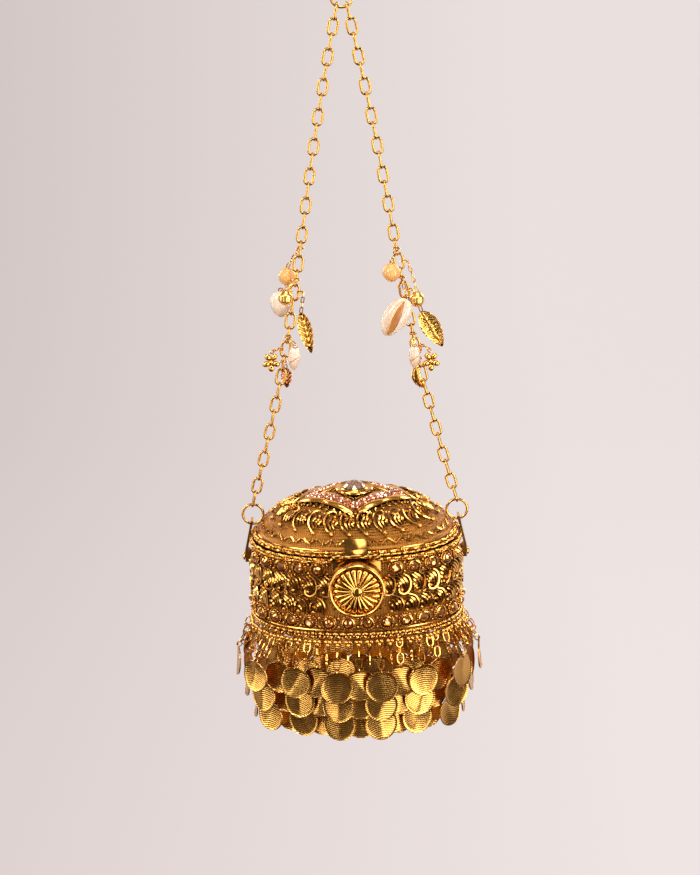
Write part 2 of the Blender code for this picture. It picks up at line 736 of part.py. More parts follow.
def fringe_group(group):
    half_width = BODY_HALF_WIDTH + FRINGE_OUT
    half_depth = BODY_HALF_DEPTH + FRINGE_OUT
    count = GROUPS * STRANDS_PER_GROUP
    walk = oval_walk(half_width, half_depth, count)
    first = group * STRANDS_PER_GROUP - 1
    strands = [walk[(first + i) % count] for i in range(STRANDS_PER_GROUP)]
    disc = disc_mesh()
    wires = bmesh.new()
    discs = {key: bmesh.new() for key in ((0, 0), (0, 1), (1, 0), (1, 1))}
    tops = []
    for index, (point, out) in enumerate(strands):
        level = strand_level(index, group)
        along = Vector((-out.y, out.x, 0))
        up = Vector((0, 0, 1)) * math.cos(DISC_TILT) - out * math.sin(DISC_TILT)
        top = point - out * (FRINGE_OUT - STRAND_TOP_OUT)
        top.z = BODY_BOTTOM - FRINGE_PIVOT_BELOW_BODY
        tops.append(top)
        eyes = []
        for tier in range(TIERS):
            middle = point + out * (level - FRINGE_DRAW_IN * tier)
            middle.z = RIM_Z - TIER_TOP - TIER_PITCH * tier
            add_mesh(discs[index % 2, tier % 2], disc, frame(middle, along, up, along.cross(up)))
            eyes.append(middle + up * (DISC_RADIUS - 1.8 * MM))
        add_mesh(wires, wire_mesh([top] + eyes, STRAND_WIRE * 1.2, False), Matrix.Identity(4))
    ends = [tops[0].lerp(tops[1], -0.1), tops[1], tops[2].lerp(tops[1], -0.1)]
    meshes = [mesh_from(wires, "strands"), wire_mesh(ends, STRAND_WIRE * 1.3, False)]
    meshes += [mesh_from(bm, "discs") for bm in discs.values()]
    name = f"fringe_group_{group + 1:02d}"
    fused(name, meshes, gold(name + " gold"), tops[1])


# Charms: each hangs from a jump ring round the side wire of one link


def pebble(width, depth, height, around=10, rows=6):
    bm = bmesh.new()
    bmesh.ops.create_uvsphere(bm, u_segments=around, v_segments=rows, radius=0.5)
    bmesh.ops.transform(bm, matrix=Matrix.Diagonal((width, depth, height, 1.0)), verts=bm.verts)
    return mesh_from(bm, "pebble")


def flat_charm(outline, thickness):
    """A plate in the XZ plane."""
    bm = bmesh.new()
    face = bm.faces.new([bm.verts.new((x * MM, -thickness / 2, z * MM)) for x, z in outline])
    made = bmesh.ops.extrude_face_region(bm, geom=[face])
    for vert in [v for v in made["geom"] if isinstance(v, bmesh.types.BMVert)]:
        vert.co.y = thickness / 2
    return mesh_from(bm, "plate")


def leaf_charm(width, height):
    half = [(0.0, 0.5), (0.3, 0.3), (0.5, 0.0), (0.34, -0.28), (0.0, -0.5)]
    outline = [(x * width, z * height) for x, z in half]
    outline += [(-x * width, z * height) for x, z in half[-2:0:-1]]
    return flat_charm(outline, CHARM_PLATE)


def flower_charm(width, height):
    spokes = [(i * math.pi / 8, 0.5 if i % 2 == 0 else 0.36) for i in range(16)]
    outline = [(width * r * math.sin(a), height * r * math.cos(a)) for a, r in spokes]
    return flat_charm(outline, 2 * CHARM_PLATE)


def crescent_charm(height):
    turns = [math.radians(50 - 20 * i) for i in range(6)]
    outer = [(height * 0.62 * (math.cos(a) - 0.8), height * 0.62 * math.sin(a)) for a in turns]
    inner = [(x - 3.2 * math.cos(a), z * 0.8) for (x, z), a in zip(outer[-2:0:-1], turns[-2:0:-1])]
    return flat_charm(outer + inner, CHARM_PLATE)


def charm(name, mirrored, index, way, mesh, place, turn, grip, mat):
    """The body is put at place, turned in the XZ plane, and its stem ends at the grip inside it."""
    center = chain_links(mirrored)[0][index][0]
    way = Vector(way)
    side_wire = center + way * (LINK_WIDTH - WIRE) / 2
    body_place = Vector((place[0], place[1], place[2])) * MM + Vector((0, 0, RIM_Z))
    mesh.transform(Matrix.Translation(body_place) @ Matrix.Rotation(turn, 4, "Y"))
    ring = ring_mesh(JUMP_RING_RADIUS, JUMP_RING_WIRE, 8)
    ring_center = side_wire + way * JUMP_RING_OFFSET
    ring.transform(frame(ring_center, (1, 0, 0), (0, 0, 1), (0, -1, 0)))
    hook = side_wire + way * (JUMP_RING_OFFSET + JUMP_RING_RADIUS)
    hold = body_place + Matrix.Rotation(turn, 3, "Y") @ Vector((0, 0, grip * MM))
    stem = wire_mesh([hook, hold], STEM_WIRE, False)
    fused(name, [mesh, ring, stem], mat, side_wire)


def charms():
    pearl = material("pearl", (0.86, 0.82, 0.75), 0.25, 0.0)
    shell = material("shell", (0.82, 0.74, 0.62), 0.3, 0.0)
    metal = gold("charm gold")
    rose = material("rose gold", (0.75, 0.42, 0.3), 0.35, 1.0)
    front, back = (0, -1, 0), (0, 1, 0)
    left, right = (-1, 0, 0), (1, 0, 0)
    ball = 8.6 * MM
    bead = 6.8 * MM
    charm("charm_pearl_left", -1, 16, back, pebble(ball, ball, ball), (-29.1, 7.6, 127.7), 0, 3.5, pearl)
    charm("charm_bead_left", -1, 18, front, pebble(bead, bead, bead, 8), (-30, -6.7, 121.4), 0, 2.7, metal)
    cowrie = pebble(10.3 * MM, 6 * MM, 13 * MM)
    charm("charm_cowrie_left", -1, 19, left, cowrie, (-32.5, 6.4, 114.6), 0, 5.6, shell)
    leaf_left = leaf_charm(7, 21)
    charm("charm_leaf_left", -1, 19, right, leaf_left, (-20.9, 0, 102.0), -0.22, 9.2, metal)
    shell_left = pebble(5.9 * MM, 4 * MM, 12.5 * MM, 8)
    charm("charm_shell_left", -1, 22, front, shell_left, (-26.8, -8, 92.3), 0.1, 5.2, shell)
    flower_left = flower_charm(7, 10.3)
    charm("charm_flower_left", -1, 23, left, flower_left, (-37.9, -4.4, 89.1), 0, 3.8, metal)
    charm("charm_petal_left", -1, 24, back, leaf_charm(5.6, 9.8), (-31.1, 5.2, 78.3), 0, 3.7, rose)
    charm("charm_pearl_right", 1, 16, front, pebble(ball, ball, ball), (19.9, -7.6, 132.7), 0, 3.5, pearl)
    charm("charm_bead_right", 1, 17, right, pebble(bead, bead, bead, 8), (31.8, -6.7, 119), 0, 2.7, metal)
    cowrie = pebble(12 * MM, 7 * MM, 20.5 * MM)
    charm("charm_cowrie_right", 1, 18, front, cowrie, (21.6, -9, 111), 0.58, 9.2, shell)
    leaf_right = leaf_charm(8, 20.5)
    charm("charm_leaf_right", 1, 19, right, leaf_right, (38.8, 0, 102.4), -0.51, 9.0, metal)
    shell_right = pebble(5.2 * MM, 4 * MM, 12.2 * MM, 8)
    charm("charm_shell_right", 1, 22, front, shell_right, (30, -7.4, 91.3), 0, 5.2, shell)
    flower_right = flower_charm(7, 10)
    charm("charm_flower_right", 1, 23, right, flower_right, (37.9, -4.4, 87.5), 0, 3.8, metal)
    charm("charm_crescent_right", 1, 24, back, crescent_charm(14.7), (33, 5.2, 77.3), -0.2, 5.6, metal)


body_shell()
base_plate()
lid_shell()
crest_setting()
rear_hinge()
clasp()
clasp_discs()
clasp_button()
for side, mirrored in (("left", -1), ("right", 1)):
    lug(side, mirrored)
    chain_side(side, mirrored)
top_ring()
for group in range(GROUPS):
    fringe_group(group)
charms()
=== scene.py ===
import math

import bmesh
import bpy
import numpy as np
from mathutils import Matrix, Vector


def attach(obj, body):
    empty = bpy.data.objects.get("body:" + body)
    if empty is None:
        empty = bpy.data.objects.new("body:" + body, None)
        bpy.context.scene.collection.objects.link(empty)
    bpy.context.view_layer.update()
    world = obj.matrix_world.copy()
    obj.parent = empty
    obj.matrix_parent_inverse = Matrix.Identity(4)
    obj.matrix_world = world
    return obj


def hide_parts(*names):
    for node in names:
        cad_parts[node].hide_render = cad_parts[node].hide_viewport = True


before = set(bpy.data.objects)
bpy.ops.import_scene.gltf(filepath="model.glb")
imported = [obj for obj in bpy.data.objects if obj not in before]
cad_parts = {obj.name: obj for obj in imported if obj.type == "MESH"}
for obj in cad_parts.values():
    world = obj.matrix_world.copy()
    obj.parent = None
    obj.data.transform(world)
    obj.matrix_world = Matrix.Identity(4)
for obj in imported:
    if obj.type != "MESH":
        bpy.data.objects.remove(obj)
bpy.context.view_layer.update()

mm = 0.001
rimZ = -265.0                      # the seam between drum and lid, in mm below the hanging point
random = np.random.default_rng(7)


# Shapes in millimetres: each is (points, faces, uv, material index)

def shape(points, faces, uv=None, mat=0):
    points = np.asarray(points, dtype=float)
    uv = np.zeros((len(points), 2)) if uv is None else np.asarray(uv, dtype=float)
    return points, faces, uv, mat


def moved(part, matrix, mat=None):
    points, faces, uv, old = part
    m = np.array(matrix)
    out = points @ m[:3, :3].T + m[:3, 3]
    return out, faces, uv, old if mat is None else mat


def axes(origin, x, y, z):
    m = Matrix((x, y, z)).transposed().to_4x4()
    m.translation = Vector(origin)
    return m


# Lays a shape drawn in XY upright, its Z towards the viewer
def upright(origin):
    return axes(origin, (1, 0, 0), (0, 0, 1), (0, -1, 0))


# A wire along a path. The radius is one number or one for each point
def tube(path, radius, sides=8, closed=False, flat=1.0, mat=0):
    path = np.asarray(path, dtype=float)
    count = len(path)
    radii = np.full(count, radius) if np.isscalar(radius) else np.asarray(radius, dtype=float)
    if closed:
        ahead = np.roll(path, -1, 0) - np.roll(path, 1, 0)
    else:
        ahead = np.gradient(path, axis=0)
    ahead /= np.linalg.norm(ahead, axis=1)[:, None] + 1e-12
    side = np.cross(ahead[0], [0, 0, 1.0])
    if np.linalg.norm(side) < 0.1:
        side = np.cross(ahead[0], [0, 1.0, 0])
    side /= np.linalg.norm(side)
    spokes = np.arange(sides) * 2 * np.pi / sides
    points = []
    for i in range(count):
        side = side - ahead[i] * np.dot(side, ahead[i])
        side /= np.linalg.norm(side)
        other = np.cross(ahead[i], side)
        ring = path[i] + radii[i] * (np.outer(np.cos(spokes), side) + flat * np.outer(np.sin(spokes), other))
        points.append(ring)
    points = np.concatenate(points)
    faces = []
    for i in range(count if closed else count - 1):
        a, b = i * sides, (i + 1) % count * sides
        for j in range(sides):
            k = (j + 1) % sides
            faces.append((a + j, a + k, b + k, b + j))
    if not closed:
        faces.append(tuple(range(sides))[::-1])
        faces.append(tuple(range((count - 1) * sides, count * sides)))
    return shape(points, faces, mat=mat)


# A round ring in the XY plane
def ringLoop(radius, wire, steps=28, sides=8, mat=0):
    turn = np.arange(steps) * 2 * np.pi / steps
    path = np.stack([radius * np.cos(turn), radius * np.sin(turn), 0 * turn], 1)
    return tube(path, wire, sides, True, mat=mat)


# An oval link in the XY plane, long in Y, measured outside
def ovalLink(length, width, wire, steps=28, sides=8, mat=0):
    half, across = length / 2 - wire, width / 2 - wire
    bend = across
    path = []
    each = steps // 4
    for i in range(2 * each):
        a = math.pi * i / (2 * each - 1)
        path.append((bend * math.cos(a), half - bend + bend * math.sin(a), 0))
    for i in range(2 * each):
        a = math.pi + math.pi * i / (2 * each - 1)
        path.append((bend * math.cos(a), -half + bend + bend * math.sin(a), 0))
    return tube(path, wire, sides, True, mat=mat)


# A shape turned round Z from (radius, height) pairs. The wave changes a point's (radius, height)
def turned(profile, steps=24, mat=0, wave=None):
    points, faces = [], []
    for i in range(steps):
        a = 2 * math.pi * i / steps
        for row, (r, h) in enumerate(profile):
            if wave:
                r, h = wave(r, h, a, row)
            points.append((r * math.cos(a), r * math.sin(a), h))
    n = len(profile)
    for i in range(steps):
        j = (i + 1) % steps
        for row in range(n - 1):
            a, b, c, d = i * n + row, j * n + row, j * n + row + 1, i * n + row + 1
            if profile[row][0] < 1e-6:
                faces.append((a, d, c))
            elif profile[row + 1][0] < 1e-6:
                faces.append((a, b, c))
            else:
                faces.append((a, b, c, d))
    return shape(points, faces, mat=mat)


def ball(radius, steps=10, rows=6, mat=0, squash=(1, 1, 1)):
    points, faces = [(0, 0, radius)], []
    for r in range(1, rows):
        phi = math.pi * r / rows
        for s in range(steps):
            a = 2 * math.pi * s / steps
            points.append((radius * math.sin(phi) * math.cos(a), radius * math.sin(phi) * math.sin(a),
                           radius * math.cos(phi)))
    points.append((0, 0, -radius))
    for s in range(steps):
        faces.append((0, 1 + s, 1 + (s + 1) % steps))
        for r in range(rows - 2):
            a, b = 1 + r * steps + s, 1 + r * steps + (s + 1) % steps
            faces.append((a, a + steps, b + steps, b))
        last = 1 + (rows - 2) * steps
        faces.append((last + s, len(points) - 1, last + (s + 1) % steps))
    return shape(np.array(points) * np.array(squash), faces, mat=mat)


def joined(parts):
    points, faces, uv, mats, base = [], [], [], [], 0
    for p, f, u, m in parts:
        points.append(p)
        uv.append(u)
        faces += [tuple(base + i for i in face) for face in f]
        mats += [m] * len(f)
        base += len(p)
    return np.concatenate(points), faces, np.concatenate(uv), mats


# One object of the visual model from its shapes, in millimetres
def piece(name, parts, materials, body, slot, stands=(), smooth=True):
    points, faces, uv, mats = joined(parts)
    mesh = bpy.data.meshes.new(name)
    mesh.from_pydata((points * mm).tolist(), [], faces)
    for material in materials:
        mesh.materials.append(material)
    mesh.polygons.foreach_set("material_index", mats)
    mesh.polygons.foreach_set("use_smooth", [smooth] * len(faces))
    layer = mesh.uv_layers.new(name="lay")
    corners = np.empty(len(mesh.loops), dtype=np.int32)
    mesh.loops.foreach_get("vertex_index", corners)
    layer.data.foreach_set("uv", uv[corners].ravel())
    mesh.validate()
    obj = bpy.data.objects.new(name, mesh)
    bpy.context.scene.collection.objects.link(obj)
    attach(obj, body)
    if stands:
        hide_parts(*stands)
    if smooth:
        mesh.set_sharp_from_angle(angle=math.radians(50))
    return obj


# Materials

goldLooks = {
    "polished": {"color": (1.0, 0.53, 0.12), "deep": (0.16, 0.045, 0.006), "rough": 0.1, "reach": 1.6},
    "relief": {"color": (1.0, 0.52, 0.12), "deep": (0.11, 0.03, 0.004), "rough": 0.12, "reach": 2.0},
    # For ground and disc, the last value sets how far painted shade darkens the grooves between the fine
    # lines
    "ground": {"color": (0.72, 0.3, 0.055), "deep": (0.07, 0.02, 0.003), "rough": 0.22, "reach": 3.5,
               "pitch": 1.25, "cross": 0.6, "bump": 1.0, "raise": 0.3, "ink": 0.8},
    "disc": {"color": (1.0, 0.54, 0.13), "deep": (0.16, 0.055, 0.008), "rough": 0.18, "reach": 3.0,
             "pitch": 1.05, "bump": 0.22, "raise": 0.14, "ink": 0.72},
    # The clasp look is a darkened copy of the gold: painted dark reflection on the polished fittings, painted
    # shade on inside faces
    "clasp": {"color": (0.36, 0.18, 0.04), "deep": (0.1, 0.035, 0.006), "rough": 0.1, "reach": 2.0},
    "chain": {"color": (0.78, 0.42, 0.1), "deep": (0.2, 0.08, 0.015), "rough": 0.12, "reach": 0.7},
    "leaf": {"color": (0.95, 0.55, 0.14), "deep": (0.1, 0.035, 0.006), "rough": 0.2, "reach": 1.2},
    "bead": {"color": (1.0, 0.6, 0.18), "deep": (0.2, 0.08, 0.015), "rough": 0.24, "reach": 0.7},
    "rose": {"color": (0.9, 0.5, 0.28), "deep": (0.25, 0.08, 0.03), "rough": 0.2, "reach": 1.2},
    "steel": {"color": (0.7, 0.45, 0.2), "deep": (0.15, 0.08, 0.03), "rough": 0.2, "reach": 1.0},
}


# A shader node with its settings, and constants for its inputs by name or number
def add(tree, kind, values=(), **settings):
    node = tree.nodes.new("ShaderNode" + kind)
    for name, value in settings.items():
        setattr(node, name, value)
    for name, value in dict(values).items():
        node.inputs[name].default_value = value
    return node


def connect(tree, *pairs):
    for source, target in pairs:
        tree.links.new(source, target)


def opaque(color):
    return (*color, 1)


def newGroup(name, ins, outs):
    tree = bpy.data.node_groups.new(name, "ShaderNodeTree")
    for label, kind, value in ins:
        socket = tree.interface.new_socket(label, in_out="INPUT", socket_type="NodeSocket" + kind)
        socket.default_value = value
    for label, kind in outs:
        tree.interface.new_socket(label, in_out="OUTPUT", socket_type="NodeSocket" + kind)
    return tree, tree.nodes.new("NodeGroupInput").outputs, tree.nodes.new("NodeGroupOutput").inputs


# Darkens recesses, partly as the gold's antique patina and partly as painted shade; clouds the metal a little
# and varies its gloss
def buildPatinaAndShade():
    ins = [("Bright", "Color", (0.8, 0.5, 0.2, 1)), ("Deep", "Color", (0.2, 0.1, 0.02, 1)),
           ("Reach", "Float", 0.002), ("Gloss", "Float", 0.2)]
    tree, given, result = newGroup("patinaAndShade", ins, [("Color", "Color"), ("Roughness", "Float")])
    # Ambient occlusion finds the recesses, where both the antique patina and the painted shade go
    occlusion = add(tree, "AmbientOcclusion", samples=4)
    recess = add(tree, "MapRange", {"From Min": 0.25, "From Max": 0.85})
    place = add(tree, "TexCoord")
    cloud = add(tree, "TexNoise", {"Scale": 260, "Detail": 3})
    soften = add(tree, "MapRange", {"To Min": 0.82, "To Max": 1.1})
    mask = add(tree, "Math", operation="MULTIPLY", use_clamp=True)
    mix = add(tree, "Mix", data_type="RGBA")
    spread = add(tree, "Math", {1: 0.12}, operation="MULTIPLY_ADD")
    connect(tree, (given["Reach"], occlusion.inputs["Distance"]),
            (occlusion.outputs["AO"], recess.inputs["Value"]),
            (place.outputs["Object"], cloud.inputs["Vector"]), (cloud.outputs["Fac"], soften.inputs["Value"]),
            (recess.outputs["Result"], mask.inputs[0]), (soften.outputs["Result"], mask.inputs[1]),
            (mask.outputs[0], mix.inputs["Factor"]), (given["Deep"], mix.inputs["A"]),
            (given["Bright"], mix.inputs["B"]), (mix.outputs["Result"], result["Color"]),
            (cloud.outputs["Fac"], spread.inputs[0]), (given["Gloss"], spread.inputs[2]),
            (spread.outputs[0], result["Roughness"]))
    return tree


# Fine parallel ridges across the lay map, which is in millimetres, or small knobs where they cross
def buildLines():
    ins = [("Pitch", "Float", 0.8), ("Cross", "Float", 0.0)]
    tree, given, result = newGroup("fineLines", ins, [("Height", "Float")])
    lay = add(tree, "UVMap", uv_map="lay")
    parts = add(tree, "SeparateXYZ")
    connect(tree, (lay.outputs["UV"], parts.inputs[0]))
    waves = []
    for side in ("X", "Y"):
        turns = add(tree, "Math", operation="DIVIDE")
        full = add(tree, "Math", {1: 2 * math.pi}, operation="MULTIPLY")
        sine = add(tree, "Math", operation="SINE")
        connect(tree, (parts.outputs[side], turns.inputs[0]), (given["Pitch"], turns.inputs[1]),
                (turns.outputs[0], full.inputs[0]), (full.outputs[0], sine.inputs[0]))
        waves.append(sine.outputs[0])
    product = add(tree, "Math", operation="MULTIPLY")
    blend = add(tree, "Mix", data_type="FLOAT")
    connect(tree, (waves[0], product.inputs[0]), (waves[1], product.inputs[1]),
            (given["Cross"], blend.inputs["Factor"]), (waves[0], blend.inputs["A"]),
            (product.outputs[0], blend.inputs["B"]), (blend.outputs["Result"], result["Height"]))
    return tree


patinaAndShade = buildPatinaAndShade()
fineLines = buildLines()


def principled(name):
    material = bpy.data.materials.new(name)
    material.use_nodes = True
    return material, material.node_tree, material.node_tree.nodes["Principled BSDF"]


def goldMaterial(name, look):
    material, tree, shader = principled(name)
    # Recesses are darkened towards the deep colour: the gold's antique patina together with painted shade
    patinaAndShadeInputs = {"Bright": opaque(look["color"]), "Deep": opaque(look["deep"]), "Reach": look["reach"] * mm,
            "Gloss": look["rough"]}
    patinaAndShadeNode = add(tree, "Group", patinaAndShadeInputs, node_tree=patinaAndShade)
    connect(tree, (patinaAndShadeNode.outputs["Color"], shader.inputs["Base Color"]),
            (patinaAndShadeNode.outputs["Roughness"], shader.inputs["Roughness"]))
    shader.inputs["Metallic"].default_value = 1.0
    if "pitch" in look:                # lines that also darken the metal between them
        lines = add(tree, "Group", {"Pitch": look["pitch"], "Cross": look.get("cross", 0.0)},
                    node_tree=fineLines)
        # Painted shade: the grooves between the lines are darkened towards the deep colour
        ink = add(tree, "MapRange", {"From Min": -1.0, "To Min": look["ink"], "To Max": 0.0})
        shadedGrooves = add(tree, "Mix", {"B": opaque(look["deep"])}, data_type="RGBA")
        bump = add(tree, "Bump", {"Strength": look["bump"], "Distance": look["raise"] * mm})
        connect(tree, (lines.outputs["Height"], ink.inputs["Value"]),
                (ink.outputs["Result"], shadedGrooves.inputs["Factor"]), (patinaAndShadeNode.outputs["Color"], shadedGrooves.inputs["A"]),
                (shadedGrooves.outputs["Result"], shader.inputs["Base Color"]),
                (lines.outputs["Height"], bump.inputs["Height"]),
                (bump.outputs["Normal"], shader.inputs["Normal"]))
    return material


polishedGold = goldMaterial("polishedGold", goldLooks["polished"])
reliefGold = goldMaterial("reliefGold", goldLooks["relief"])
groundGold = goldMaterial("groundGold", goldLooks["ground"])
discGold = goldMaterial("discGold", goldLooks["disc"])
shadedGold = goldMaterial("shadedGold", goldLooks["clasp"])
roseGold = goldMaterial("roseGold", goldLooks["rose"])
leafGold = goldMaterial("leafGold", goldLooks["leaf"])
beadGold = goldMaterial("beadGold", goldLooks["bead"])
chainGold = goldMaterial("chainGold", goldLooks["chain"])
pinSteel = goldMaterial("pinSteel", goldLooks["steel"])


# A texture's value picks between two colours
def ramped(tree, shader, texture, output, low, high, lowAt, highAt):
    place = add(tree, "TexCoord")
    ramp = add(tree, "ValToRGB")
    for end, color, at in zip(ramp.color_ramp.elements, (low, high), (lowAt, highAt)):
        end.position = at
        end.color = opaque(color)
    connect(tree, (place.outputs["Object"], texture.inputs["Vector"]),
            (texture.outputs[output], ramp.inputs["Fac"]),
            (ramp.outputs["Color"], shader.inputs["Base Color"]))


# A foil-backed stone mirrors like its foil, tinted, with painted glints: a lighter colour at the centres of
# small cells
def gemMaterial(name, color, paintedGlint, metal):
    material, tree, shader = principled(name)
    ramped(tree, shader, add(tree, "TexVoronoi", {"Scale": 700}), "Distance", paintedGlint, color, 0.0, 0.7)
    for socket, value in (("Metallic", metal), ("Roughness", 0.05), ("Coat Weight", 0.3),
                          ("Coat Roughness", 0.02)):
        shader.inputs[socket].default_value = value
    return material


amberStone = gemMaterial("amberStone", (0.46, 0.17, 0.035), (0.98, 0.5, 0.19), 0.8)
pinkStone = gemMaterial("pinkStone", (0.75, 0.34, 0.22), (0.98, 0.66, 0.5), 0.8)
champagneStone = gemMaterial("champagneStone", (0.5, 0.27, 0.16), (0.98, 0.78, 0.6), 0.75)


# Pearl and shell: a clouded colour with a soft gloss
def softMaterial(name, low, high, rough, scale, coat=0.0):
    material, tree, shader = principled(name)
    ramped(tree, shader, add(tree, "TexNoise", {"Scale": scale, "Detail": 4}), "Fac", low, high, 0.3, 0.7)
    for socket, value in (("Roughness", rough), ("Coat Weight", coat), ("Coat Roughness", 0.1)):
        shader.inputs[socket].default_value = value
    return material


pearlGold = softMaterial("pearlGold", (0.8, 0.41, 0.12), (0.82, 0.44, 0.14), 0.34, 60, 0.5)
shellCream = softMaterial("shellCream", (0.74, 0.5, 0.33), (0.86, 0.74, 0.62), 0.25, 110, 0.6)
# This dark brown paints the shade in the cowrie's slot and also gives the small shells their brown streak
streakAndSlotShade = softMaterial("streakAndSlotShade", (0.4, 0.14, 0.03), (0.62, 0.27, 0.08), 0.4, 200)
shellLip = softMaterial("shellLip", (0.8, 0.42, 0.18), (0.88, 0.64, 0.42), 0.3, 220, 0.5)
print("materials ready")


# Plan of the drum and the ways onto its walls

drum = {"halfWidth": 50.6, "halfDepth": 34.6, "power": 2.3, "height": 41.0, "wall": 1.2}
lid = {"halfWidth": 49.0, "halfDepth": 33.8, "rise": 21.6, "band": 3.0, "fullness": 0.82}


# Points round the plan and their distance along, from the front middle
def ovalWalk(halfWidth, halfDepth, samples=2880):
    t = np.linspace(0, 2 * np.pi, samples + 1)
    p = 2 / drum["power"]
    x = np.sign(np.sin(t)) * np.abs(np.sin(t)) ** p * halfWidth
    y = -np.sign(np.cos(t)) * np.abs(np.cos(t)) ** p * halfDepth
    along = np.concatenate([[0], np.cumsum(np.hypot(np.diff(x), np.diff(y)))])
    return x, y, along


drumWalk = ovalWalk(drum["halfWidth"], drum["halfDepth"])


# The point and the outward direction at a share of the way round
def walkAt(walk, share):
    x, y, along = walk
    s = (share % 1.0) * along[-1]
    ds = along[-1] * 0.002
    px, py = np.interp(s, along, x), np.interp(s, along, y)
    ax = np.interp((s + ds) % along[-1], along, x) - np.interp((s - ds) % along[-1], along, x)
    ay = np.interp((s + ds) % along[-1], along, y) - np.interp((s - ds) % along[-1], along, y)
    n = math.hypot(ax, ay)
    return np.array([px, py]), np.array([ay / n, -ax / n])


# The frame of a motif on the drum's wall: x along, y up, z out
def onDrum(share, z, lift=0.0):
    p, n = walkAt(drumWalk, share)
    out = Vector((n[0], n[1], 0))
    along = Vector((-n[1], n[0], 0))
    origin = (p[0] + n[0] * lift, p[1] + n[1] * lift, rimZ + z)
    return axes(origin, along, (0, 0, 1), out)


def lidHeight(share):
    inner = min(share / 0.975, 1.0)
    return lid["band"] + (lid["rise"] - lid["band"]) * max(1 - inner ** 2, 0) ** lid["fullness"]


lidWalk = ovalWalk(lid["halfWidth"], lid["halfDepth"])


def lidPoint(turn, share):
    p = walkAt(lidWalk, turn)[0]
    return Vector((p[0] * share, p[1] * share, rimZ + 0.3 + lidHeight(share)))


# The frame of a motif on the lid: x round it, y towards the crown, z out
def onLid(turn, share, lift=0.0):
    here = lidPoint(turn, share)
    up = (lidPoint(turn, share - 0.02) - lidPoint(turn, share + 0.02)).normalized()
    along = (lidPoint(turn + 0.004, share) - lidPoint(turn - 0.004, share)).normalized()
    out = along.cross(up).normalized()
    up = out.cross(along)
    return axes(here + out * lift, along, up, out)


# The point of the lid over a plan place, and its frame
def onLidAt(x, y, lift=0.0):
    p = drum["power"]
    share = ((abs(x) / lid["halfWidth"]) ** p + (abs(y) / lid["halfDepth"]) ** p) ** (1 / p)
    share = max(share, 0.02)
    edge = np.array([x, y]) / share

    def at(size):
        return Vector((edge[0] * size, edge[1] * size, rimZ + 0.3 + lidHeight(size)))
    up = (at(share - 0.02) - at(share + 0.02)).normalized()
    side = Vector((edge[0], edge[1], 0)).cross(Vector((0, 0, -1))).normalized()
    out = side.cross(up).normalized()
    if out.z < 0:
        out = -out
    side = up.cross(out)
    here = at(share) + out * lift
    return here, axes(here, side, up, out)


# A corner of the diamond of the whole lid: front, right, back, left
def diamondCorner(index):
    return np.array([(0, -lid["halfDepth"]), (lid["halfWidth"], 0), (0, lid["halfDepth"]),
                     (-lid["halfWidth"], 0)][index % 4])


# A closed strip of quads round the plan
def wallSheet(rows, steps, place, uvPlace):
    points, uv, faces = [], [], []
    for r in rows:
        for s in range(steps + 1):
            points.append(place(s / steps, r))
            uv.append(uvPlace(s / steps, r))
    n = steps + 1
    for r in range(len(rows) - 1):
        for s in range(steps):
            a = r * n + s
            faces.append((a, a + 1, a + 1 + n, a + n))
    return shape(points, faces, uv)


# A wire all round, through place(share)
def loopAlong(place, count, radius):
    return tube([place(i / count) for i in range(count)], radius, 6, True)


# Two strands twisted round a path; twist is +1 or -1
def ropeAlong(place, turns, twist, radius, strand, steps=8):
    parts = []
    count = turns * steps
    for start in (0, math.pi):
        path = []
        for i in range(count):
            a = start + twist * math.pi * 2 * i / steps
            here, up, out = place(i / count)
            path.append(here + up * (radius * math.sin(a)) + out * (radius * math.cos(a)))
        parts.append(tube(path, strand, 5, True))
    return parts


# Motifs: x along, y up, z out, in millimetres

# A rounded path through a few points
def smooth(points, count):
    pts = np.asarray(points, dtype=float)
    pts = np.vstack([2 * pts[0] - pts[1], pts, 2 * pts[-1] - pts[-2]])
    out = []
    for u in np.linspace(0, len(pts) - 3 - 1e-9, count):
        i = int(u)
        t = u - i
        p0, p1, p2, p3 = pts[i:i + 4]
        out.append(0.5 * (2 * p1 + (p2 - p0) * t + (2 * p0 - 5 * p1 + 4 * p2 - p3) * t * t
                          + (3 * p1 - p0 - 3 * p2 + p3) * t ** 3))
    return np.array(out)


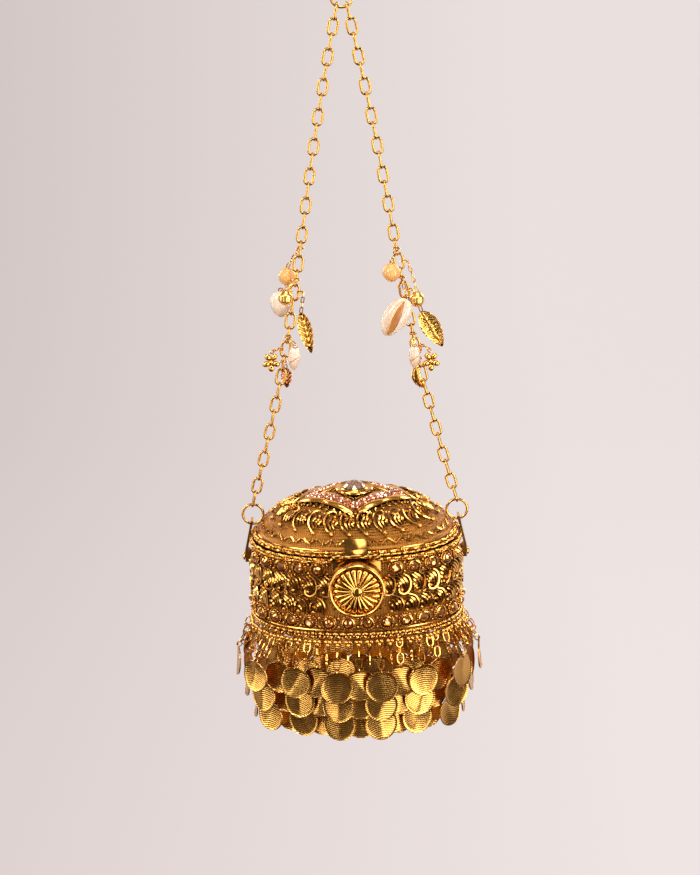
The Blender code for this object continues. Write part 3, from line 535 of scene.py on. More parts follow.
# Each plume: one hooked wire, ridges that arch inside it, balls, and an eyelet on some
plumes = {
    "upper": {"strand": [(0.2, 4.5), (2.2, 2.9), (3.0, 0.2), (2.3, -2.8), (0.3, -4.3), (-1.8, -3.6),
                         (-2.1, -1.9), (-1.0, -1.5)],
              "ridges": [[(-3.0, 3.9), (-1.1, 2.2), (0.3, -0.2), (0.9, -2.6)],
                         [(-3.3, 0.6), (-2.6, -0.2), (-1.9, -0.6), (-1.3, -0.9)],
                         [(-1.9, 4.4), (0.3, 2.6), (1.5, 0.0), (1.7, -2.2)],
                         [(-3.2, 2.3), (-2.0, 1.2), (-0.9, -0.4), (-0.4, -1.6)]],
              "balls": [(-0.9, -2.6, 0.85), (-2.9, 0.4, 0.55), (0.2, 4.6, 0.5)], "eyelet": None},
    "lower": {"strand": [(-1.0, 3.7), (1.6, 2.6), (2.9, 0.2), (2.9, -2.2), (1.9, -4.3)],
              "ridges": [[(-1.6, 2.9), (0.5, 1.6), (1.7, -0.6), (1.4, -3.9)],
                         [(-2.2, 1.9), (-0.5, 0.8), (0.6, -1.0), (0.5, -3.6)],
                         [(-3.1, -1.3), (-2.0, -0.9), (-1.0, -1.8), (-0.6, -3.6)]],
              "balls": [(-2.2, -3.2, 0.8), (-3.1, 0.6, 0.5)], "eyelet": (-1.1, 4.4, 0.62)},
    "lid": {"strand": [(1.9, 3.1), (2.3, 4.7), (0.6, 5.6), (-1.7, 4.3), (-2.8, 1.2), (-2.3, -1.8),
                       (-0.7, -4.2), (0.9, -5.5)],
            "ridges": [[(-1.0, 3.9), (0.3, 2.0), (-0.8, -0.3), (0.6, -3.4)],
                       [(0.6, 3.5), (1.9, 1.5), (0.9, -0.4), (2.0, -3.0)],
                       [(2.5, 1.6), (3.1, 0.4), (2.5, -0.6), (3.1, -2.0)]],
            "balls": [(1.2, -5.8, 0.95), (1.7, 2.9, 0.7), (-3.3, 4.6, 0.6)], "eyelet": None},
}
plumeWire = {"strand": 0.46, "ridge": 0.72, "lift": 0.4}


def plume(kind):
    look = plumes[kind]
    path = smooth(look["strand"], 20)
    t = np.linspace(0, 1, 20)
    path = np.column_stack([path, plumeWire["lift"] + 0.45 * np.sin(np.pi * t)])
    parts = [tube(path, plumeWire["strand"] * (0.75 + 0.35 * np.sin(np.pi * t)), 6)]
    for ridge in look["ridges"]:
        path = smooth(ridge, 10)
        t = np.linspace(0, 1, 10)
        path = np.column_stack([path, plumeWire["lift"] + 0.4 * np.sin(np.pi * t)])
        parts.append(tube(path, plumeWire["ridge"] * (0.2 + 0.85 * np.sin(np.pi * (0.08 + 0.86 * t))), 6))
    for x, y, r in look["balls"]:
        parts.append(moved(ball(r, 9, 6), Matrix.Translation((x, y, 0.5))))
    if look["eyelet"]:
        x, y, r = look["eyelet"]
        parts.append(moved(ringLoop(r, 0.25, 12, 5), Matrix.Translation((x, y, 0.5))))
    return parts


bezelShape = {"outer": 3.7, "inner": 2.65, "height": 1.6, "beads": 18}


# A cup for a stone, with a ring of beads round its foot
def bezel():
    outer, inner, height = bezelShape["outer"], bezelShape["inner"], bezelShape["height"]
    profile = [(outer, -0.3), (outer - 0.1, 0.3), (inner + 0.45, 0.5), (inner + 0.35, height),
               (inner, height + 0.1), (inner - 0.2, height * 0.5)]
    parts = [turned(profile, 24)]
    bead = ball(0.46, 6, 4)
    for i in range(bezelShape["beads"]):
        a = 2 * math.pi * i / bezelShape["beads"]
        place = ((outer - 0.3) * math.cos(a), (outer - 0.3) * math.sin(a), 0.55)
        parts.append(moved(bead, Matrix.Translation(place)))
    return parts


# A faceted stone: girdle, crown facets and a small table
def stone(radius, height, sides=12, table=0.35):
    points, faces = [], []
    levels = [(radius * 0.9, -0.5), (radius, 0.0), (radius * 0.72, height * 0.55), (radius * table, height)]
    for level, (r, z) in enumerate(levels):
        for i in range(sides):
            a = 2 * math.pi * (i + 0.5 * (level % 2)) / sides
            points.append((r * math.cos(a), r * math.sin(a), z))
    for level in range(3):
        for i in range(sides):
            a, b = level * sides + i, level * sides + (i + 1) % sides
            c, d = a + sides, b + sides
            if level % 2 == 0:
                faces += [(a, b, c), (b, d, c)]
            else:
                faces += [(a, b, d), (a, d, c)]
    faces.append(tuple(range(3 * sides, 4 * sides)))
    faces.append(tuple(range(sides))[::-1])
    return shape(points, faces)


# Drum

relief = {"stonesRound": 30, "stoneRows": (-5.6, -32.9), "stone": (2.55, 1.7), "stoneMargin": 1.5,
          "bead": 0.75, "beadAside": 2.2, "plumesRound": 37, "plumeRows": (-14.3, -23.9), "plumeSize": 1.14,
          "plumeMargin": -1.5, "claspHalf": 15.0, "claspDeep": 28.0, "leafHalf": 12.0, "leafDeep": 11.0,
          "lugHalf": 4.2, "lugDeep": 15.0}
weave = {"rows": ((-0.65, 1), (-1.8, -1)), "lidRows": ((0.75, 1.0, 0.15, 1), (2.1, 0.988, 0.2, -1)),
         "turns": 150, "lift": 0.4, "radius": 0.5, "strand": 0.4}
border = {"bars": 76, "row": 2.3, "knob": 0.95, "wireAt": 4.1, "wire": 0.32, "ropeAt": 0.6, "ropeTurns": 110,
          "rope": (0.45, 0.4), "lift": 0.35}


# No relief where the clasp, the rear hinge or a lug lies on the wall
def clearOfFittings(m, margin=0.0):
    p = m.translation
    depth = rimZ - p.z
    if p.y < 0 and abs(p.x) < relief["claspHalf"] + margin and depth < relief["claspDeep"] + margin:
        return False
    if p.y > 0 and abs(p.x) < relief["leafHalf"] + margin and depth < relief["leafDeep"] + margin:
        return False
    return not (abs(p.y) < relief["lugHalf"] + margin and depth < relief["lugDeep"] + margin)


def buildDrum():
    around = drumWalk[2][-1]
    height, wall = drum["height"], drum["wall"]

    def outer(share, row):
        z, lift = row
        p, n = walkAt(drumWalk, share)
        return (p[0] + n[0] * lift, p[1] + n[1] * lift, rimZ + z)

    outside = [(-height, 0.0), (-height + 1.5, 0.25), (-height + 3, 0.0), (-30, 0.0), (-20, 0.0), (-10, 0.0),
               (-3.0, 0.0), (-2.4, 0.0), (0, 0.0)]
    parts = [wallSheet(outside, 240, outer, lambda s, r: (s * around, r[0]))]
    # The inside faces take the darkened gold, painted shade
    inside = [(0, 0.0), (0, -wall), (-height / 2, -wall), (-height, -wall), (-height, 0.0)]
    parts.append(moved(wallSheet(inside, 160, outer, lambda s, r: (0, 0)), Matrix(), 1))
    piece("drumWall", parts, [groundGold, shadedGold], "bag", "body_gold", ["body_shell"])

    motifs, stones = [], []
    setting = bezel()
    gem = stone(*relief["stone"])
    tiny = ball(relief["bead"], 8, 5)
    for row, z in enumerate(relief["stoneRows"]):
        for i in range(relief["stonesRound"]):
            m = onDrum((i + 0.5 * row) / relief["stonesRound"], z)
            if not clearOfFittings(m, relief["stoneMargin"]):
                continue
            motifs += [moved(p, m) for p in setting]
            stones.append(moved(gem, m @ Matrix.Translation((0, 0, 1.0)) @ Matrix.Rotation(0.3 * i, 4, "Z")))
            for side in (-1, 1):
                between = onDrum((i + 0.5 * row + 0.5) / relief["stonesRound"],
                                 z + side * relief["beadAside"], 0.3)
                motifs.append(moved(tiny, between))
    for row, z in enumerate(relief["plumeRows"]):
        kind = plume("lower" if row else "upper")
        for i in range(relief["plumesRound"]):
            m = onDrum((i + 0.5 * row) / relief["plumesRound"], z, 0.2)
            if clearOfFittings(m, relief["plumeMargin"]):
                size = relief["plumeSize"]
                motifs += [moved(p, m @ Matrix.Diagonal((size, size, 1.1, 1.0))) for p in kind]
    piece("drumRelief", motifs, [reliefGold], "bag", "body_gold")
    piece("drumStones", stones, [amberStone], "bag", "crest_stone", smooth=False)

    # Woven band under the rim, and the barred and beaded border at the foot
    trims = []

    def rail(z, lift):
        def place(share):
            p, n = walkAt(drumWalk, share)
            return np.array([p[0] + n[0] * lift, p[1] + n[1] * lift, rimZ + z])
        return place

    def rope(z, lift):
        at = rail(z, lift)

        def place(share):
            n = walkAt(drumWalk, share)[1]
            return at(share), np.array([0, 0, 1.0]), np.array([n[0], n[1], 0])
        return place

    for z, twist in weave["rows"]:
        trims += ropeAlong(rope(z, weave["lift"]), weave["turns"], twist, weave["radius"], weave["strand"])
    trims.append(loopAlong(rail(-height + border["wireAt"], border["lift"]), 300, border["wire"]))
    foot = rope(-height + border["ropeAt"], border["lift"])
    trims += ropeAlong(foot, border["ropeTurns"], 1, *border["rope"])
    bar = tube([(-1.25, 0, 0), (0, 0, 0.35), (1.25, 0, 0)], [0.5, 0.75, 0.5], 6)
    knob = ball(border["knob"], 9, 6)
    for i in range(border["bars"]):
        trims.append(moved(knob, onDrum(i / border["bars"], -height + border["row"], 0.5)))
        trims.append(moved(bar, onDrum((i + 0.5) / border["bars"], -height + border["row"], 0.45)))
    piece("drumTrims", trims, [reliefGold], "bag", "body_gold")


# Lid

crown = {"plumesRound": 24, "plumeShare": 0.705, "plumeSize": (1.05, 1.12, 1.1, 1.0), "lugX": 41.0,
         "lugY": 5.0, "waves": 36, "waveShare": 0.915, "waveHeight": 1.05, "waveWire": 0.52, "waveLift": 0.8,
         "flatFrom": 40.5, "flatEase": 2.5, "dish": 9.2, "stone": (5.4, 3.0, 16, 0.12), "stoneLift": 1.9}

# Nested diamonds round the crest, each size a share of the lid's own diamond
diamond = {"full": 0.6, "blades": ((0.93, 0.05, 0.53, 2.9), (0.93, 0.49, 0.96, 2.8), (0.6, 0.08, 0.92, 2.2)),
           "wires": ((1.04, 0.42), (0.76, 0.42), (0.5, 0.35)), "roses": 12,
           "roseRows": ((0.8, 0.7), (0.7, 1.0)), "barRow": 1.14, "barTurn": 0.7, "beadRow": 1.22, "bead": 0.6,
           "rose": (1.15, 1.2, 7, 0.45)}


def buildLid():
    around = lidWalk[2][-1]
    shares = [0.975] + list(np.linspace(0.95, 0.02, 22))

    def outer(share, row):
        return tuple(lidPoint(share, row))

    def band(share, row):
        z, size = row
        p = walkAt(lidWalk, share)[0]
        return (p[0] * size, p[1] * size, rimZ + 0.3 + z)

    foot = [(0, 0.955), (0, 1.0), (1.5, 1.0), (3.0, 0.975)]
    parts = [wallSheet(foot, 240, band, lambda s, r: (s * around, r[0]))]
    parts.append(wallSheet(shares, 240, outer, lambda s, r: (s * around, 40 * r)))

    def under(share, row):
        p = lidPoint(share, max(row - 0.03, 0.0))
        return (p.x, p.y, p.z - 1.2)

    # The underside takes the darkened gold, painted shade
    below = wallSheet(list(np.linspace(0.02, 0.975, 12)) + [0.985], 120, under, lambda s, r: (0, 0))
    parts.append(moved(below, Matrix(), 1))
    piece("lidDome", parts, [groundGold, shadedGold], "lid", "lid_gold", ["lid_shell"])

    motifs, pinks = [], []
    scroll = plume("lid")
    for i in range(crown["plumesRound"]):
        m = onLid((i + 0.5) / crown["plumesRound"], crown["plumeShare"], 0.2)
        p = m.translation
        if abs(p.x) > crown["lugX"] and abs(p.y) < crown["lugY"]:
            continue
        motifs += [moved(q, m @ Matrix.Diagonal(crown["plumeSize"])) for q in scroll]

    pinkGem = stone(*diamond["rose"])
    shortBar = tube([(0, -1.2, 0), (0, 0, 0.4), (0, 1.2, 0)], [0.3, 0.6, 0.35], 6)

    # The wave wire round the dome's foot
    steps = 960
    path = []
    for s in range(steps):
        turn = s / steps
        swing = math.sin(2 * math.pi * crown["waves"] * turn)
        # It lies flat under the bag rings' sweep
        aside = abs(onLid(turn, crown["waveShare"]).translation.x)
        near = min(max((aside - crown["flatFrom"]) / crown["flatEase"], 0), 1)
        m = onLid(turn, crown["waveShare"], crown["waveLift"] * (1 - near))
        path.append(np.array(m @ Vector((0, swing * crown["waveHeight"], 0))))
    motifs.append(tube(path, crown["waveWire"], 6, True))
    for i in range(2 * crown["waves"]):
        m = onLid((i + 0.5) / (2 * crown["waves"]), crown["waveShare"], 0.4)
        up = 1 if i % 2 else -1
        motifs.append(moved(ball(0.45, 7, 4), m @ Matrix.Translation((0, up * 0.3, 0))))

    # Polished blades, wires, rows of small rose stones, short bars and beads along each side of the diamond
    full = diamond["full"]
    for corner in range(4):
        a, b = diamondCorner(corner), diamondCorner(corner + 1)

        def along(v, size, lift):
            x, y = a * (1 - v) + b * v
            return onLidAt(x * size, y * size, lift)
        for size, low, high, fat in diamond["blades"]:
            t = np.linspace(0, 1, 14)
            path = [np.array(along(low + (high - low) * v, full * size, 0.35)[0]) for v in t]
            motifs.append(tube(path, fat * (0.12 + np.sin(np.pi * (0.05 + 0.9 * t)) ** 0.7), 8, flat=0.42))
        for size, wire in diamond["wires"]:
            path = [np.array(along(v, full * size, 0.6)[0]) for v in np.linspace(0.02, 0.98, 24)]
            motifs.append(tube(path, wire, 6))
        slant = Matrix.Rotation(diamond["barTurn"] if corner % 2 else -diamond["barTurn"], 4, "Z")
        for i in range(diamond["roses"]):
            v = (i + 0.5) / diamond["roses"]
            for size, up in diamond["roseRows"]:
                pinks.append(moved(pinkGem, along(v, full * size, up)[1]))
            motifs.append(moved(shortBar, along(v, full * diamond["barRow"], 0.4)[1] @ slant))
            motifs.append(moved(ball(diamond["bead"], 8, 5), along(v, full * diamond["beadRow"], 0.5)[1]))
    piece("lidRelief", motifs, [reliefGold], "lid", "lid_gold")
    piece("lidStones", pinks, [pinkStone], "lid", "crest_stone", smooth=False)

    trims = []

    def ropeAt(z, size, lift):
        def place(share):
            p, n = walkAt(lidWalk, share)
            here = np.array([p[0] * size + n[0] * lift, p[1] * size + n[1] * lift, rimZ + 0.3 + z])
            return here, np.array([0, 0, 1.0]), np.array([n[0], n[1], 0])
        return place

    for z, size, lift, twist in weave["lidRows"]:
        trims += ropeAlong(ropeAt(z, size, lift), weave["turns"], twist, weave["radius"], weave["strand"])
    trims.append(tube([ropeAt(3.1, 0.972, 0.15)(i / 300)[0] for i in range(300)], 0.3, 6, True))
    piece("lidTrims", trims, [reliefGold], "lid", "lid_gold")

    # Crest: a plain dish with a raised lip, and the pointed stone
    top = rimZ + 0.3 + lidHeight(0) + 0.3
    r = crown["dish"]
    profile = [(0.01, -0.1), (r * 0.9, 0.0), (r, 0.5), (r, 1.1), (r - 0.35, 1.55), (r - 0.9, 1.5),
               (r - 1.6, 0.95), (6.6, 1.0), (6.3, 1.5), (5.7, 1.7), (5.4, 1.3), (0.01, 1.2)]
    dish = moved(turned(profile, 48), Matrix.Translation((0, 0, top)))
    piece("crestDish", [dish], [polishedGold], "lid", "lid_gold", ["crest_dish"])
    gem = moved(stone(*crown["stone"]), Matrix.Translation((0, 0, top + crown["stoneLift"])))
    piece("crestStone", [gem], [champagneStone], "lid", "crest_stone", ["crest_stone"], smooth=False)


# Clasp

clasp = {"pinY": -37.7, "pinZ": rimZ + 2.0, "knuckle": 1.5, "bore": 0.7, "width": 23.0, "length": 25.0,
         "back": -37.2, "thick": 1.0, "leafHalf": 5.4, "button": 13.7, "buttonZ": rimZ - 12.4, "neck": 8.0,
         "high": 8.5, "flutes": 22}


# A bored knuckle along X with softened ends
def barrel(lowX, highX, y, z, radius, bore):
    edge = 0.2
    profile = [(bore, 0), (radius - edge, 0), (radius, edge), (radius, highX - lowX - edge),
               (radius - edge, highX - lowX), (bore, highX - lowX), (bore, 0)]
    m = axes((lowX, y, z), (0, 1, 0), (0, 0, 1), (1, 0, 0))
    return moved(turned(profile, 24), m)


# A leaf drawn along X from its outline in Y and Z, with softened edges
def slab(outline, lowX, highX, bevel=0.12):
    bm = bmesh.new()
    face = bm.faces.new([bm.verts.new((lowX, y, z)) for y, z in outline])
    made = bmesh.ops.extrude_face_region(bm, geom=[face])
    for v in made["geom"]:
        if isinstance(v, bmesh.types.BMVert):
            v.co.x = highX
    bmesh.ops.recalc_face_normals(bm, faces=bm.faces)
    bmesh.ops.bevel(bm, geom=list(bm.edges), offset=bevel, segments=2, affect="EDGES", profile=0.5)
    bm.verts.index_update()
    points = [tuple(v.co) for v in bm.verts]
    faces = [tuple(v.index for v in f.verts) for f in bm.faces]
    bm.free()
    return shape(points, faces)


def buildClasp():
    y, z = clasp["pinY"], clasp["pinZ"]
    half, third = clasp["width"] / 2, clasp["leafHalf"] + 0.3
    back, front = clasp["back"], clasp["back"] - clasp["thick"]
    low = rimZ - clasp["length"]
    parts = [slab([(front, low), (back, low), (back, z - 2.0), (front, z - 2.0)], -half, half)]
    for a, b in ((-half, -third - 0.3), (third + 0.3, half)):
        parts.append(barrel(a, b, y, z, clasp["knuckle"], clasp["bore"]))
        parts.append(slab([(front, z - 2.4), (back, z - 2.4), (back, z - 0.9), (front, z - 0.9)], a, b, 0.05))
    piece("claspFlap", parts, [shadedGold], "flap", "fitting_gold", ["clasp_flap"])
    leafHalf = clasp["leafHalf"]
    share = 0.9
    lidY, lidZ = -lid["halfDepth"] * share - 0.3, rimZ + 0.6 + lidHeight(share)
    kneeY, kneeZ = -lid["halfDepth"] - 0.6, rimZ + 3.5
    outline = [(y - 0.5, z + 0.9), (y + 0.5, z + 0.9), (kneeY, kneeZ), (lidY, lidZ), (lidY - 0.4, lidZ + 1.0),
               (kneeY - 0.8, kneeZ + 1.0)]
    parts = [slab(outline, -leafHalf, leafHalf, 0.1),
             barrel(-leafHalf, leafHalf, y, z, clasp["knuckle"], clasp["bore"])]
    piece("claspLeaf", parts, [shadedGold], "lid", "fitting_gold", ["clasp_lid_leaf"])

    # The button: a rounded ring round a shallow dome of petals, which end in a scalloped edge
    r = clasp["button"]
    full = clasp["high"]
    flutes = clasp["flutes"]
    profile = [(clasp["neck"], 0.0), (clasp["neck"], 1.1), (r - 0.6, 1.1), (r, 1.7), (r, full - 1.7),
               (r - 0.12, full - 0.9), (r - 0.5, full - 0.3), (r - 1.05, full - 0.05), (r - 1.6, full - 0.3),
               (r - 2.0, full - 0.9), (r - 2.1, full - 1.8), (r - 2.5, full - 2.0), (r - 2.7, full - 1.6),
               (r - 3.0, full - 1.15), (r - 3.6, full - 0.85), (r - 4.8, full - 0.6), (r - 6.6, full - 0.4),
               (r - 8.8, full - 0.2), (r - 10.8, full - 0.15), (2.3, full - 0.2), (2.0, full + 0.15),
               (1.3, full + 0.35), (0.0, full + 0.4)]
    petal = {12: 0.4, 13: 1.0, 14: 1.35, 15: 1.35, 16: 1.15, 17: 0.8, 18: 0.4}

    def flute(rr, hh, a, row):
        lobe = abs(math.cos(a * flutes / 2)) ** 0.55
        reach = 0.7 * (lobe - 0.6) if row in (11, 12, 13) else 0.0
        return rr + reach, hh + petal.get(row, 0.0) * (lobe - 0.75)
    button = turned(profile, flutes * 14, wave=flute)
    m = upright((0, front - 0.3, clasp["buttonZ"]))
    piece("claspButton", [moved(button, m)], [polishedGold], "flap", "button_gold", ["clasp_button"])


# Lugs, rivets and bag rings

rivet = {"x": 51.2, "z": -11.0, "profile": [(0.01, -0.2), (1.0, 0.0), (1.0, 3.0), (2.0, 3.1), (2.0, 3.5),
                                            (1.6, 3.95), (0.9, 4.2), (0.0, 4.3)]}


# The straps show as they are, in polished gold, each with a domed rivet through its foot
def buildLugs():
    for side, sign in (("left", -1), ("right", 1)):
        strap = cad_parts["lug_" + side]
        strap.data.materials.clear()
        strap.data.materials.append(polishedGold)
        out = axes((sign * rivet["x"], 0, rimZ + rivet["z"]), (0, sign, 0), (0, 0, 1), (sign, 0, 0))
        dome = moved(turned(rivet["profile"], 20), out)
        piece("rivet" + side.capitalize(), [dome], [polishedGold], "bag", "fitting_gold", ["rivet_" + side])


# Chain

chain = {"wire": 0.55, "drawn": 0.62, "long": 9.2, "wide": 5.3, "bite": 0.22, "ring": 5.0, "ringWire": 0.65,
         "ringX": 49.6, "ringLift": 10.8, "topRing": 5.0, "topX": 2.4, "sagIn": 2.4, "sagOut": 1.5}


# Middle and direction of each link of one side, and the links' length
def chainLinks(sign):
    wire = 2 * chain["wire"]
    ringWire = 2 * chain["ringWire"]
    topZ = -(chain["topRing"] - ringWire / 2) - math.sqrt(chain["topRing"] ** 2 - chain["topX"] ** 2)
    start = np.array([chain["topX"], 0, topZ])
    end = np.array([chain["ringX"], 0, rimZ + chain["ringLift"] + chain["ring"]])
    ahead = (end - start) / np.linalg.norm(end - start)
    held = ringWire / 2 + wire / 2
    start = start - ahead * (held + 0.3)
    end = end + ahead * (held - chain["bite"])
    t = np.linspace(0, 1, 401)
    sag = chain["sagOut"] * np.sin(2 * np.pi * t) - chain["sagIn"] * np.sin(np.pi * t)
    path = start + (end - start) * t[:, None]
    path[:, 0] = sign * (path[:, 0] + sag)
    far = np.concatenate([[0], np.cumsum(np.linalg.norm(np.diff(path, axis=0), axis=1))])
    nested = wire - chain["bite"]
    count = 2 * round((far[-1] - nested) / (chain["long"] - wire - nested) / 2 - 0.5) + 1
    pitch = (far[-1] - nested) / count
    span = pitch + nested

    def at(d):
        return np.array([np.interp(d, far, path[:, k]) for k in range(3)])
    links = []
    for i in range(count):
        a, b = at(pitch * i), at(pitch * i + span)
        links.append(((a + b) / 2, (b - a) / np.linalg.norm(b - a)))
    return links, span + wire


def buildChain():
    for side, sign in (("left", -1), ("right", 1)):
        links, length = chainLinks(sign)
        link = ovalLink(length, chain["wide"], chain["drawn"], 28, 8)
        parts = []
        for i, (middle, ahead) in enumerate(links):
            ahead = Vector(ahead)
            across = Vector((ahead.z, 0, -ahead.x)).normalized()
            front = Vector((0, 1, 0))
            x = front if i % 2 == 0 else across
            parts.append(moved(link, axes(middle, x, ahead, x.cross(ahead))))
        ring = ringLoop(chain["ring"], chain["ringWire"], 40, 10)
        center = (sign * chain["ringX"], 0, rimZ + chain["ringLift"])
        parts.append(moved(ring, upright(center)))
        piece("chain" + side.capitalize(), parts, [chainGold], "handle", "chain_gold", ["chain_" + side])
    ring = ringLoop(chain["topRing"], chain["ringWire"], 40, 10)
    center = (0, 0, -(chain["topRing"] - chain["ringWire"]))
    m = upright(center)
    piece("topRing", [moved(ring, m)], [chainGold], "handle", "chain_gold", ["top_ring"])


# Skirt of discs

fringe = {"groups": 10, "each": 3, "out": 5.8, "drawIn": 4.2, "level": 3.0, "tierTop": 63.2,
          "tierPitch": 11.8, "tiers": 3, "radius": 8.0, "thick": 0.35, "tilt": math.radians(4), "topOut": 0.1,
          "pivotBelow": 0.95, "eyelet": (1.25, 0.26), "hoop": (5.6, 3.6, 0.3), "bead": 1.05, "beadsOut": 0.7,
          "beadsDown": 0.7, "ringPitch": 4.6, "beadDrop": 11.0}

# How far the discs differ from one another
discMix = {"grain": 0.3, "lean": 0.12, "cup": (0.4, 1.2), "bend": (0.2, 1.6), "fold": 0.5}
fringeWalk = ovalWalk(drum["halfWidth"] + fringe["out"], drum["halfDepth"] + fringe["out"])


# A thin dished disc with a fine edge, a soft fold across it and its line texture laid at an angle
def disc(cup, bend, bendAngle, grain):
    size, t = fringe["radius"], fringe["thick"]
    radii = [0.0, 0.2, 0.4, 0.6, 0.8, 0.93, 0.975, 1.0]
    steps = 28
    points, uv, faces = [], [], []

    def surface(x, y):
        r2 = (x * x + y * y) / (size * size)
        fold = abs(x * math.cos(bendAngle) + y * math.sin(bendAngle)) / size
        return cup * (r2 - 0.35) - bend * (fold ** 1.3 - 0.4)

    for face in (1, -1):
        for q in radii[1:]:
            for s in range(steps):
                a = 2 * math.pi * s / steps
                x, y = size * q * math.cos(a), size * q * math.sin(a)
                edge = 0.25 if q == 1.0 else 1.0
                z = surface(x, y) + face * t / 2 * edge + (0.16 * face if 0.95 < q < 0.99 else 0)
                points.append((x, y, z))
                c, d = math.cos(grain), math.sin(grain)
                uv.append((x * d + y * c + 0.04 * x * x, x * c - y * d))
        points.append((0, 0, surface(0, 0) + face * t / 2))
        uv.append((0, 0))
    n = len(radii) - 1
    block = n * steps + 1
    for side in (0, 1):
        base = side * block
        for ring in range(n - 1):
            for s in range(steps):
                k = (s + 1) % steps
                f = (base + ring * steps + s, base + (ring + 1) * steps + s, base + (ring + 1) * steps + k,
                     base + ring * steps + k)
                faces.append(f if side == 0 else f[::-1])
        for s in range(steps):
            f = (base + block - 1, base + s, base + (s + 1) % steps)
            faces.append(f if side == 0 else f[::-1])
    for s in range(steps):
        k = (s + 1) % steps
        a, b = (n - 1) * steps + s, (n - 1) * steps + k
        faces.append((a, a + block, b + block, b))
    return shape(points, faces, uv, 0)


def buildFringe():
    count = fringe["groups"] * fringe["each"]
    spacing = fringeWalk[2][-1] / count
    small = ringLoop(*fringe["eyelet"], 14, 6, mat=1)
    hoop = ovalLink(*fringe["hoop"], 16, 6, mat=1)
    bead = ball(fringe["bead"], 9, 6, mat=1)
    cluster = [moved(bead, Matrix.Translation(v)) for v in ((-1.0, 0, 0.3), (1.0, 0, 0.3), (0, -1.5, 0.4))]
    for g in range(fringe["groups"]):
        parts = []
        for k in range(fringe["each"]):
            share = ((g * fringe["each"] - 1 + k) % count) / count
            p, n = walkAt(fringeWalk, share)
            out, along = Vector((n[0], n[1], 0)), Vector((-n[1], n[0], 0))
            level = 0.0 if k == 1 else (fringe["level"] if g % 2 == 0 else -fringe["level"])
            base = Vector((p[0], p[1], 0))
            tilt = fringe["tilt"]
            up = Vector((0, 0, 1)) * math.cos(tilt) - out * math.sin(tilt)
            face = along.cross(up)
            top = base - out * (fringe["out"] - fringe["topOut"])
            top.z = rimZ - drum["height"] - fringe["pivotBelow"]
            last = top
            for tier in range(fringe["tiers"]):
                middle = base + out * (level - fringe["drawIn"] * tier)
                middle.z = rimZ - fringe["tierTop"] - fringe["tierPitch"] * tier
                grain = random.uniform(-discMix["grain"], discMix["grain"])
                lean = random.uniform(-discMix["lean"], discMix["lean"])
                cup, bend = random.uniform(*discMix["cup"]), random.uniform(*discMix["bend"])
                fold = random.uniform(-discMix["fold"], discMix["fold"])
                m = axes(middle, along, up, face) @ Matrix.Rotation(lean, 4, "Y")
                parts.append(moved(disc(cup, bend, fold, grain), m))
                eye = middle + up * (fringe["radius"] - 1.2)
                parts.append(moved(small, axes(eye + up * 1.1, out, up, out.cross(up))))
                # Linked wire rings from the border down to the top disc's eye
                gap = eye + up * 2.2 - last
                steps = max(1, round(gap.length / fringe["ringPitch"])) if tier == 0 else 0
                for j in range(steps):
                    a = last + gap * ((j + 0.5) / steps)
                    direction = -gap.normalized()
                    x = along if j % 2 == 0 else along.cross(direction).normalized()
                    parts.append(moved(hoop, axes(a, x, direction, x.cross(direction))))
                if tier == 0:
                    for shift in (0.0, spacing / 2):
                        at = top + out * fringe["beadsOut"] + along * shift
                        at.z -= fringe["beadsDown"]
                        parts += [moved(c, axes(at, along, (0, 0, 1), out)) for c in cluster]
                        if shift:
                            foot = base + out * (level * 0.25) + along * shift
                            foot.z = top.z - fringe["beadDrop"]
                            drop = foot - at
                            for j in range(2):
                                x = along if j % 2 == 0 else out
                                hang = -drop.normalized()
                                x = (x - hang * x.dot(hang)).normalized()
                                place = axes(at + drop * (0.27 + 0.4 * j), x, hang, x.cross(hang))
                                parts.append(moved(hoop, place))
                            place = axes(at + drop * 0.92, out, (0, 0, 1), out.cross(Vector((0, 0, 1))))
                            parts.append(moved(small, place))
                last = middle
        name = f"fringe_group_{g + 1:02d}"
        piece(f"skirt{g + 1:02d}", parts, [discGold, polishedGold], f"fringe_{g + 1:02d}", "disc_gold",
              [name])


# Charms

# A pointed leaf, dished, with a rim, a midrib and slanting veins, or a pebbled face
def leafBlade(width, height, cup, veins, pebbles=0.0):
    rows, cols = 60, 18
    points, faces = [], []
    rough = random.uniform(-1, 1, (rows + 1, cols + 1)) * pebbles
    for side in (1, -1):
        for r in range(rows + 1):
            v = r / rows
            half = width / 2 * math.sin(math.pi * v ** 0.78) ** 0.7 if 0 < r < rows else 0.02
            for c in range(cols + 1):
                u = -1 + 2 * c / cols
                ridge = 0.4 * math.exp(-(u / 0.12) ** 2) + 0.3 * math.exp(-((abs(u) - 0.92) / 0.08) ** 2)
                vein = 0.4 * math.cos(2 * math.pi * (v * veins + 1.5 * abs(u))) * (1 - abs(u) ** 3)
                vein = vein if veins else 0
                z = cup * (u * u - 0.3) + (ridge + vein + rough[r, c]) * (1 if side > 0 else -1)
                points.append((u * half, height * (0.5 - v), z + side * 0.2))
    n = cols + 1
    block = (rows + 1) * n
    for side in (0, 1):
        for r in range(rows):
            for c in range(cols):
                a = side * block + r * n + c
                f = (a, a + n, a + n + 1, a + 1)
                faces.append(f if side == 0 else f[::-1])
    for r in range(rows):
        for c in (0, cols):
            a = r * n + c
            f = (a, a + block, a + block + n, a + n)
            faces.append(f if c == 0 else f[::-1])
    return shape(points, faces)


